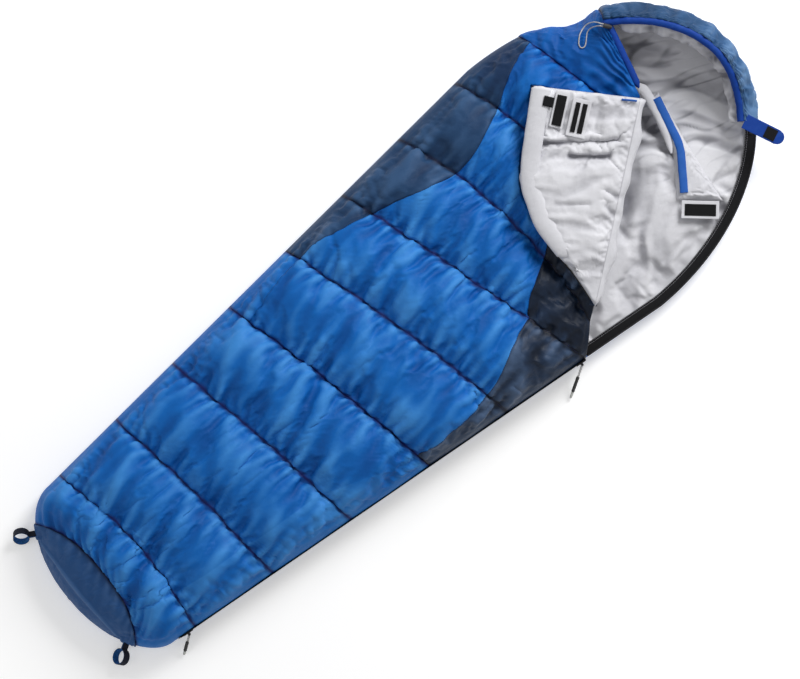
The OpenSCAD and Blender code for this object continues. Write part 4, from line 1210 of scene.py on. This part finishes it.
band_cols = 11
band_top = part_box("zip_band")[1].z
band_insets = np.linspace(0.0006, band_width, band_cols)
band_plan = band_edge[:, None] - band_insets[None, :, None] * band_out[:, None]
band_rim = np.abs(np.linspace(-1, 1, band_cols)) ** 6
band_grid = over(band_plan, band_top)
band_grid[..., 2] += 0.0012 * ripple(band_grid, 14, 31.0) + 0.0006 - 0.0004 * band_rim
add_sheet("open_zip_band", finer(band_grid[:, ::-1]), 0.0016, zip_tape_black, "bag", ["zip_band"], "zip_tape")
band_coil = over(band_edge - (coil_radius * 2 + coil_clear) * band_out, band_top + coil_radius + 0.0012)
teeth("open_zip_teeth", band_coil, "bag", ["zip_band_coil"])
band_fine = finer(band_grid) + 0.0004 * upward
band_up = np.tile(upward, (len(band_fine), 1))
stitches("band_stitches", [(band_fine[:, k], band_up) for k in (16, 19)], thread_grey, 0.006)

draft_line = along_zip("draft_tube")
draft_low, draft_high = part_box("draft_tube")
draft_path = lerp(draft_line[0], draft_line[1], np.linspace(0, 1, 240)[:, None])
draft_rings = round_rings(draft_path, float(draft_high.z - draft_low.z) / 2, 20)
draft_shrink = 0.0006 + 0.0014 * (0.5 + 0.5 * ripple(draft_rings, 26, 33.0))
add_tube("draft_roll", swollen(draft_rings, draft_path, -draft_shrink), lining_grey, "bag", ["draft_tube"],
         "lining_grey")


# Flap, lying open on the chest
def distance_to(plan, start, end):
    """Distance in plan from a straight stretch between two points."""
    start = np.asarray(start, float)
    line = np.asarray(end, float) - start
    share = np.clip(((plan - start) @ line) / (line @ line), 0, 1)
    return np.linalg.norm(plan - start - share[..., None] * line, axis=-1)


flap_rows = 88
flap_cols = 42
tip_rows = 12
rim_round = 0.016
rim_half = 0.002
groove_half = 0.008
lining_seams = [
    ((0.491, 0.238), (0.544, 0.036), 1.0),
    ((0.480, 0.143), (0.500, 0.049), 0.9),
    ((0.355, 0.150), (0.369, 0.075), 0.4),
    ((0.411, 0.036), (0.404, 0.010), 0.5),
    ((0.372, 0.030), (0.360, 0.008), 0.5),
]
flap_edge = evenly(flap_curve, flap_rows)
flap_root = np.linspace(flap_first, flap_last, flap_rows) * fold_length
flap_root = np.stack([flap_root, np.full(flap_rows, flap_gap)], -1)
flap_share = np.linspace(0, 1, flap_cols)[None, :]
flap_plan = lerp(flap_root[:, None], flap_edge[:, None], flap_share[..., None])
flap_span = np.linalg.norm(flap_edge - flap_root, axis=-1)[:, None]
flap_run = (flap_last - flap_first) * fold_length
row_share = np.linspace(0, 1, flap_rows)[:, None]
rim_distance = np.minimum((1 - flap_share) * flap_span, np.minimum(row_share, 1 - row_share) * flap_run)
fullness = rise(rim_distance / rim_round)
lining_groove = np.ones_like(fullness)
for seam_start, seam_end, seam_depth in lining_seams:
    groove = bell(distance_to(flap_plan, seam_start, seam_end), groove_half)
    lining_groove = np.minimum(lining_groove, 1 - seam_depth * groove)
flap_upper = flap_middle + rim_half + (wall / 2 - rim_half) * fullness * lining_groove
flap_grid = on_fold(flap_plan[..., 0], flap_plan[..., 1], flap_upper)[:, ::-1]
uneven(flap_grid, 41.0)
flap_held = rim_marked(flap_grid) | (lining_groove[:, ::-1] < 0.4)
flap_held[:tip_rows] = True
flap_fine = finer(relaxed(flap_grid, flap_held, excess=0.06, pressure=1.4, cap=0.010))
fine_rim = finer_values(rim_distance[:, ::-1])
fine_root = finer_values((flap_share * flap_span)[:, ::-1])
flap_tip = np.linspace(0, flap_run, len(flap_fine))[:, None]
flap_lift = creased(flap_fine, 0.0025, 43.0, (0.8, 0.8, 0))
flap_lift = flap_lift + folded(flap_fine, depth=0.0045, heading=50, seed=45.0)
flap_turned = flap_fine.swapaxes(0, 1)
flap_lift += gathered(flap_turned, fine_rim.T, depth=0.003, period=0.030, reach=0.022, seed=44.0).T
flap_lift *= np.clip(fine_rim / 0.006, 0, 1) * smooth(fine_root / 0.03) * smooth(flap_tip / 0.08)
flap_fine = pushed(flap_fine, flap_lift)
hinge_a, hinge_b = from_fold(flap_fine)
hinge_away = np.hypot(np.minimum(hinge_a - cover_root[0] + cover_size[0], 0), hinge_b - cover_root[1])
hinge_ceiling = joints["zip_cover_turn"]["pos_m"][2] - 0.005 + np.maximum(0, hinge_away - 0.020)
flap_fine[..., 2] = np.minimum(flap_fine[..., 2], hinge_ceiling)
# Painted light and shade by fold height, and painted shade in the lining's seam grooves
add_cloth("flap_inner", flap_fine, lining_white, "flap", ["flap_lining"], "lining_white", 0.6,
          crest=flap_lift / 0.012 - 1.2 * finer_values((1 - lining_groove)[:, ::-1]))

shell_seam_slope = -0.784
shell_groove_half = 0.016
shell_groove = np.ones_like(fullness)
for share in fold_seams[1:]:
    seam_start = np.array([share * fold_length, 0])
    seam_end = seam_start + np.array([shell_seam_slope, 1]) * flap_reach
    groove = bell(distance_to(flap_plan, seam_start, seam_end), shell_groove_half)
    shell_groove = np.minimum(shell_groove, 1 - 0.6 * groove)
flap_under = flap_middle - rim_half - (wall / 2 - rim_half) * fullness * shell_groove
under_fine = finer(on_fold(flap_plan[..., 0], flap_plan[..., 1], flap_under))
under_fold = 0.0030 * (1 + folded(under_fine, 1.0, 50, 47.0)) + 0.0012 * (1 + creased(under_fine, 1.0, 46.0))
under_fold *= np.clip(finer_values(rim_distance) / 0.012, 0, 1)
under_fine[..., 2] += under_fold
# Painted shade in the seam grooves, and painted light and shade by the height of its folds
add_cloth("flap_outer", under_fine, shell_blue, "flap", ["flap_shell", "flap_fill"], "shell_blue", 0.6,
          seam=smooth((0.7 - finer_values(shell_groove)) / 0.3), crest=0.4 - under_fold / 0.006)


def beside_edge(out, first=0.0):
    """Points beside the flap's zip edge; out is the distance outside it."""
    line = evenly(flap_curve, 240)
    line = line[int(first * len(line)):]
    d = unit(np.gradient(line, axis=0))
    return line + out * np.stack([-d[:, 1], d[:, 0]], -1)


roll_first = 0.2
roll_half = 0.024
roll_half_height = 0.0085
roll_overhang = 0.004
roll_line = beside_edge(roll_overhang - roll_half, roll_first)
roll_fade = drawn_in(len(roll_line), 8, 3)
roll_path = on_fold(roll_line[:, 0], roll_line[:, 1], flap_top + 0.0035)
roll_rings = tube_grid(roll_path, roll_half * roll_fade, roll_half_height * roll_fade, 28)
roll_wave = 0.0012 * ripple(roll_rings, 30, 48.0) * roll_fade[:, None]
add_tube("flap_edge_roll", swollen(roll_rings, roll_path, roll_wave), lining_white, "flap",
         ["flap_draft_tube"], "lining_white")
coil_low, coil_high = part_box("flap_zip_coil")
coil_line = beside_edge(coil_clear + coil_radius)
coil_path = on_fold(coil_line[:, 0], coil_line[:, 1], (coil_low.z + coil_high.z) / 2 - fold_height)
teeth("flap_teeth", coil_path, "flap", ["flap_zip_coil"])


# Soft fold between the chest and the flap: lining that rolls over from one to the other
fold_rows = np.linspace(flap_first, flap_last, 110)
fold_row = np.interp(fold_rows, fold_seams, zip_seams + 1 + np.arange(len(fold_seams)))
fold_low = row_height(np.minimum(fold_row, channels)) - wall
fold_high = np.interp(fold_rows, np.linspace(flap_first, flap_last, len(flap_fine)), flap_fine[:, -1, 2])
fold_sway = ripple(np.stack([fold_rows, 0 * fold_rows, 0 * fold_rows], -1), (9, 1, 1), 53.0)
fold_bulge = (0.022 + 0.012 * fold_sway) * smooth((fold_rows - flap_first + 0.04) / 0.12)
fold_turn = np.linspace(-math.pi / 2, math.pi / 2, 26)
fold_b = 0.007 - 0.0027 * np.sin(fold_turn) - fold_bulge[:, None] * np.cos(fold_turn)
fold_z = lerp(fold_low[:, None], fold_high[:, None] - 0.0002, 0.5 + 0.5 * np.sin(fold_turn))
fold_grid = on_fold(fold_rows[:, None] * fold_length, fold_b, fold_z - fold_height)
fold_wave = 0.0026 * ripple(fold_grid, 24, 51.0) + creased(fold_grid, 0.0016, 52.0)
fold_grid = pushed(fold_grid, fold_wave * np.cos(fold_turn)[None, :])
fold_soft = add_cloth("fold_roll", fold_grid, lining_white, "bag", ["fold_seam"], "lining_grey", 0.5)
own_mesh(fold_soft)

# Strip of shell that joins the chest to the flap on the outside; it shows when the flap is closed
strip_low = 0.0014
strip_reach = 0.016
strip_a = np.linspace(flap_first, fold_seams[-1] - 0.015, 100)[:, None] * fold_length
strip_b = np.linspace(strip_reach, 0.0045, 8)[None, :]
strip_on = laid(np.stack(np.broadcast_arrays(strip_a, strip_b), -1), 0.0, surface_tree(wall_fine))
strip_end = on_fold(strip_a, np.array([[0.001, -0.0032]]), -strip_low)
strip_grid = np.concatenate([strip_on, strip_end], axis=1)
strip_grid[..., 2] = np.minimum(strip_grid[..., 2], fold_height - strip_low)
add_cloth("fold_shell", strip_grid, shell_navy, "bag", [], "shell_slate", 0.3, thickness=0.0008)


# Fittings laid on the flap's lining
patch_step = 0.004
patch_lift = 0.0004
hook_lift = 0.0003
hook_thick = 0.0014


def lay_patch(name, centre, size, lift, thickness, material, body, replaces, slot, tree):
    """Lays a patch on a surface and gives the patch's own surface, for what lies on it."""
    rows, cols = [max(4, int(s / patch_step)) for s in size]
    a = centre[0] + np.linspace(-size[0] / 2, size[0] / 2, rows)
    b = centre[1] + np.linspace(size[1] / 2, -size[1] / 2, cols)
    grid = laid(np.stack(np.meshgrid(a, b, indexing="ij"), -1), lift + thickness, tree)
    piece = add_sheet(name, grid, thickness, material, body, replaces, slot)
    bevel(piece, min(0.0006, thickness * 0.4))
    return surface_tree(grid)


def lay_hook(name, centre, size, lift, thickness, body, replaces, tree):
    lay_patch(name, centre, size, lift, thickness, hook_black, body, replaces, "hook_tape", tree)


flap_tree = surface_tree(flap_fine)
patch_centre = np.array([0.895, 0.835]) * flap_scale
pocket_centre = np.array([0.86, 0.53]) * flap_scale
strip_offset = 0.009
cover_centre = cover_root - [cover_size[0] / 2, 0]
hook_size = (0.077, 0.024)
hook_centre = cover_root - [cover_size[0] - 0.005 - hook_size[0] / 2, 0]
lay_hook("loop_patch", patch_centre, (0.026, 0.026), patch_lift, 0.0018, "flap", ["flap_loop_patch"],
         flap_tree)
pocket_tree = lay_patch("flap_pocket", pocket_centre, (0.096, 0.048), patch_lift, 0.0035, lining_white,
                        "flap", ["pocket_bag"], "lining_white", flap_tree)
for side, strip, strip_nodes in ((-1, "near", ["pocket_strips"]), (1, "far", [])):
    strip_centre = pocket_centre + [0, side * strip_offset]
    lay_hook(f"pocket_strip_{strip}", strip_centre, (0.075, 0.012), hook_lift, hook_thick, "flap",
             strip_nodes, pocket_tree)
cover_tree = lay_patch("cover_cloth", cover_centre, cover_size, 0.0026, 0.0018, lining_white, "cover_tab",
                       ["zip_cover_tab"], "lining_white", flap_tree)
lay_hook("cover_hook", hook_centre, hook_size, hook_lift, hook_thick, "cover_tab", ["zip_cover_patch"],
         cover_tree)
neck_near = np.array([flap_last * fold_length, flap_gap])
neck_far = flap_curve[-1]
piping_radius = 0.0025
piping_inset = 0.010
neck_line = lerp(neck_near, neck_far, np.linspace(0.03, 0.17, 24)[:, None]) - [piping_inset, 0]
neck_path = laid(neck_line[:, None], piping_radius + clear, flap_tree)[:, 0]
neck_rings = round_rings(neck_path, piping_radius, 12)
add_tube("neck_piping", neck_rings, piping_blue, "flap", ["flap_piping"], "shell_blue")


# Neck collar: a soft pad on the lining, a blue band along its free edge, and a soft roll beside it
collar_free = np.array([[-33, 243], [99, 277], [160, 316], [205, 350]]) / 1000
collar_back = np.array([[-38, 208], [112, 236], [285, 258]]) / 1000
collar_stripe = np.array([[-28, 224], [47, 242], [105, 258], [160, 294], [203, 324]]) / 1000
collar_roll_line = np.array([[-92, 243], [-56, 237], [9, 246], [60, 262], [105, 284]]) / 1000
collar_rows = 72
collar_cols = 26
collar_length = 0.3
collar_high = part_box("neck_collar")[1].z


def below_crown(points):
    return np.stack([points[:, 0], bag_length - points[:, 1]], -1)


free_edge = evenly(below_crown(curve(collar_free, 61)), collar_rows)
back_edge = evenly(below_crown(collar_back), collar_rows)
collar_share = np.linspace(1, 0, collar_cols)[None, :]
collar_plan = lerp(free_edge[:, None], back_edge[:, None], collar_share[..., None])
collar_span = np.linalg.norm(back_edge - free_edge, axis=-1)[:, None]
collar_row = np.linspace(0, 1, collar_rows)[:, None]
collar_rim = np.minimum(np.minimum(collar_share, 1 - collar_share) * collar_span,
                        np.minimum(collar_row, 1 - collar_row) * collar_length)
collar_lift = (collar_high - base_top) * (0.12 + 0.84 * rise(collar_rim / rim_round))
collar_grid = over(collar_plan, base_top + collar_lift)
collar_grid = finer(relaxed(collar_grid, rim_marked(collar_grid), excess=0.03, pressure=0.8, cap=0.004))
collar_grid[..., 2] += creased(collar_grid, 0.0012, 55.0) - 0.001
add_cloth("collar_pad", collar_grid, lining_white, "bag", ["neck_collar"], "lining_grey", 0.6)

piping_low, piping_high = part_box("collar_piping")
piping_line = evenly(below_crown(curve(collar_stripe, 81)), 130)
piping_path = over(piping_line, (piping_low.z + piping_high.z) / 2 - 0.0006)
piping_rings = tube_grid(piping_path, half_width=0.0105, half_height=0.0036, sides=20)
piping_rings = swollen(piping_rings, piping_path, 0.0007 * ripple(piping_rings, 70, 57.0))
add_tube("collar_band", piping_rings, piping_blue, "bag", ["collar_piping"], "shell_blue")

soft_path = over(evenly(below_crown(curve(collar_roll_line, 81)), 90), collar_high - 0.003)
soft_fade = drawn_in(len(soft_path), 10, 30)
soft_rings = tube_grid(soft_path, half_width=0.0140 * soft_fade, half_height=0.0075 * soft_fade, sides=24)
soft_wave = 0.0016 * ripple(soft_rings, 40, 58.0) * soft_fade[:, None]
soft_rings = swollen(soft_rings, soft_path, soft_wave)
add_tube("collar_roll", soft_rings, lining_white, "bag", [], "lining_white")


# Flat tabs of cloth that turn about their sewn edge, and the hook patches on them
tab_step = 0.003


def tab(name, body, node, material, slot, inset, size, thickness, curl=0.0, round_end=False):
    """A sheet that starts at an inset from its body's joint, as high as the node that it stands for."""
    joint = joints[f"{body}_turn"]
    axis = np.array(joint["axis"])
    origin = np.array(joint["pos_m"])
    low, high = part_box(body)
    out = np.array((low + high) / 2) - origin
    out[2] = 0
    out = unit(out - axis * (out @ axis))
    origin = origin + inset * out
    origin[2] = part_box(node)[1].z
    rows, cols = [max(6, int(s / tab_step)) for s in size]
    u = np.linspace(0, 1, rows)[:, None]
    v = np.linspace(1, -1, cols)[None, :]
    side = np.array([-out[1], out[0], 0.0])
    half = size[1] / 2
    reach = size[0] * u + 0 * v
    if round_end:
        reach = u * (size[0] - half + half * np.sqrt(np.clip(1 - v ** 2, 0.0004, 1)))
    lift = curl * (reach / size[0]) ** 2
    grid = origin + reach[..., None] * out + (half * v)[..., None] * side + lift[..., None] * upward
    grid[..., 2] += 0.0006 * ripple(grid, 60, 61.0) * (reach / size[0])
    bevel(add_sheet(name, grid, thickness, material, body, [node], slot), thickness * 0.35)


tab("collar_tab_cloth", "collar_tab", "collar_tab", lining_white, "lining_white",
    inset=0.0003, size=(0.0457, 0.096), thickness=0.0018, curl=0.002)
tab("collar_tab_hook", "collar_tab", "collar_tab_patch", hook_black, "hook_tape",
    inset=0.009, size=(0.030, 0.080), thickness=0.0013, curl=0.0014)
tab("closure_cloth", "closure_tab", "closure_tab", royal_blue, "shell_blue",
    inset=0.0, size=(0.110, 0.038), thickness=0.0016, round_end=True)
tab("closure_hook", "closure_tab", "closure_tab_patch", hook_black, "hook_tape",
    inset=0.058, size=(0.030, 0.030), thickness=0.0014)


# Webbing loops at the foot: black outside, blue inside
webbing_half = 0.010
webbing = 0.002
webbing_layer = 0.0009
loop_eye = 0.019
loop_stem = 0.0197


def loop_path(radius):
    """Half a stem, the eye and the other half, in plan: outward from the bag, and across."""
    gap = radius - loop_eye
    spread = math.asin(gap / radius)
    turn = np.linspace(-math.pi + spread, math.pi - spread, 64)
    ring = np.stack([radius * np.cos(turn), radius * np.sin(turn)], -1)
    stem = np.linspace(-loop_stem - loop_eye - webbing, ring[0, 0], 12)[:-1]
    near = np.stack([stem, np.full(len(stem), -gap)], -1)
    far = np.stack([stem[::-1], np.full(len(stem), gap)], -1)
    return np.concatenate([near, ring, far])


mounts = {m["name"]: m for m in frame["record"]["mounts"]}
for side in ("left", "right"):
    eye = mounts[f"{side}_loop_eye"]
    axis = np.array(eye["axis"])
    out = unit(np.cross(axis, upward))
    out = -out if out[1] > 0 else out
    across = np.cross(axis, out)
    for layer, radius, material, replaced in (
        ("outer", loop_eye + webbing, webbing_black, [f"foot_loop_{side}"]),
        ("inner", loop_eye + webbing / 2, webbing_blue, []),
    ):
        path = loop_path(radius)
        line = np.array(eye["pos_m"]) + path[:, :1] * out + path[:, 1:] * across
        grid = line[:, None] + np.linspace(webbing_half, -webbing_half, 9)[None, :, None] * axis
        add_sheet(f"{side}_loop_{layer}", grid, webbing_layer, material, "bag", replaced, "webbing")


# Fittings that keep their shape from the frame
kept = [
    (zip_tape_black, ["zip_base_tape", "zip_top_tape", "flap_zip_tape"]),
    (coil_black, ["zip_bottom_stop", "zip_top_stop"]),
    (slider_black, ["main_slider", "foot_slider"]),
    (cord_white, ["main_pull_cord", "foot_pull_cord"]),
    (grip_black, ["main_pull_grip", "foot_pull_grip", "cord_lock_body", "cord_lock_plunger"]),
    (tip_pale, ["main_pull_tip", "foot_pull_tip"]),
]
for material, names in kept:
    for node in names:
        nodes[node].data.materials.clear()
        nodes[node].data.materials.append(material)
rounded = ["main_slider", "foot_slider", "zip_bottom_stop", "zip_top_stop", "cord_lock_body",
           "cord_lock_plunger"]
for node in rounded:
    bevel(nodes[node], 0.0005).limit_method = "ANGLE"


# Floor and soft studio light
floor_size = 6.0
floor_drop = 0.0005
floor_glow = 0.34
sky_light = 0.36
sky_seen = 1.0


def seen_ray(tree):
    """1 for what the camera sees, directly, reflected or through glass, and 0 for light on the object."""
    path = tree.nodes.new("ShaderNodeLightPath")
    total = path.outputs["Is Camera Ray"]
    for kind in ("Is Glossy Ray", "Is Transmission Ray"):
        either = tree.nodes.new("ShaderNodeMath")
        either.operation = "MAXIMUM"
        tree.links.new(total, either.inputs[0])
        tree.links.new(path.outputs[kind], either.inputs[1])
        total = either.outputs[0]
    return total


floor_nodes = Nodes("floor")
floor_nodes.set(Base_Color=(0.9, 0.9, 0.9, 1), Roughness=0.9, Emission_Color=(1, 1, 1, 1),
                Emission_Strength=floor_nodes.math("MULTIPLY", seen_ray(floor_nodes.tree), floor_glow))
corners = ((-1, -1), (1, -1), (1, 1), (-1, 1))
floor_corners = [[x * floor_size, y * floor_size, -floor_drop] for x, y in corners]
floor = bpy.data.objects.new("floor", new_mesh("floor", floor_corners, [[0, 1, 2, 3]]))
floor.data.materials.append(floor_nodes.material)
scene.collection.objects.link(floor)

picture_right = Vector((math.cos(camera_turn), math.sin(camera_turn), 0))
picture_up = Vector((-math.sin(camera_turn), math.cos(camera_turn), 0))


def area_light(name, right, above, height, size, power):
    data = bpy.data.lights.new(name, "AREA")
    data.shape = "SQUARE"
    data.size = size
    data.energy = power
    lamp = bpy.data.objects.new(name, data)
    lamp.location = camera_aim + right * picture_right + above * picture_up + Vector((0, 0, height))
    lamp.rotation_euler = (camera_aim - lamp.location).to_track_quat("-Z", "Y").to_euler()
    scene.collection.objects.link(lamp)


area_light("key", right=2.75, above=4.0, height=3.3, size=2.4, power=270)
area_light("fill", right=-4.0, above=-1.2, height=4.5, size=3.0, power=30)
world = scene.world or bpy.data.worlds.new("world")
scene.world = world
world.use_nodes = True
sky = world.node_tree.nodes["Background"]
sky.inputs["Color"].default_value = (1, 1, 1, 1)
sky_level = world.node_tree.nodes.new("ShaderNodeMapRange")
sky_level.inputs["To Min"].default_value = sky_light
sky_level.inputs["To Max"].default_value = sky_seen
world.node_tree.links.new(seen_ray(world.node_tree), sky_level.inputs["Value"])
world.node_tree.links.new(sky_level.outputs[0], sky.inputs["Strength"])
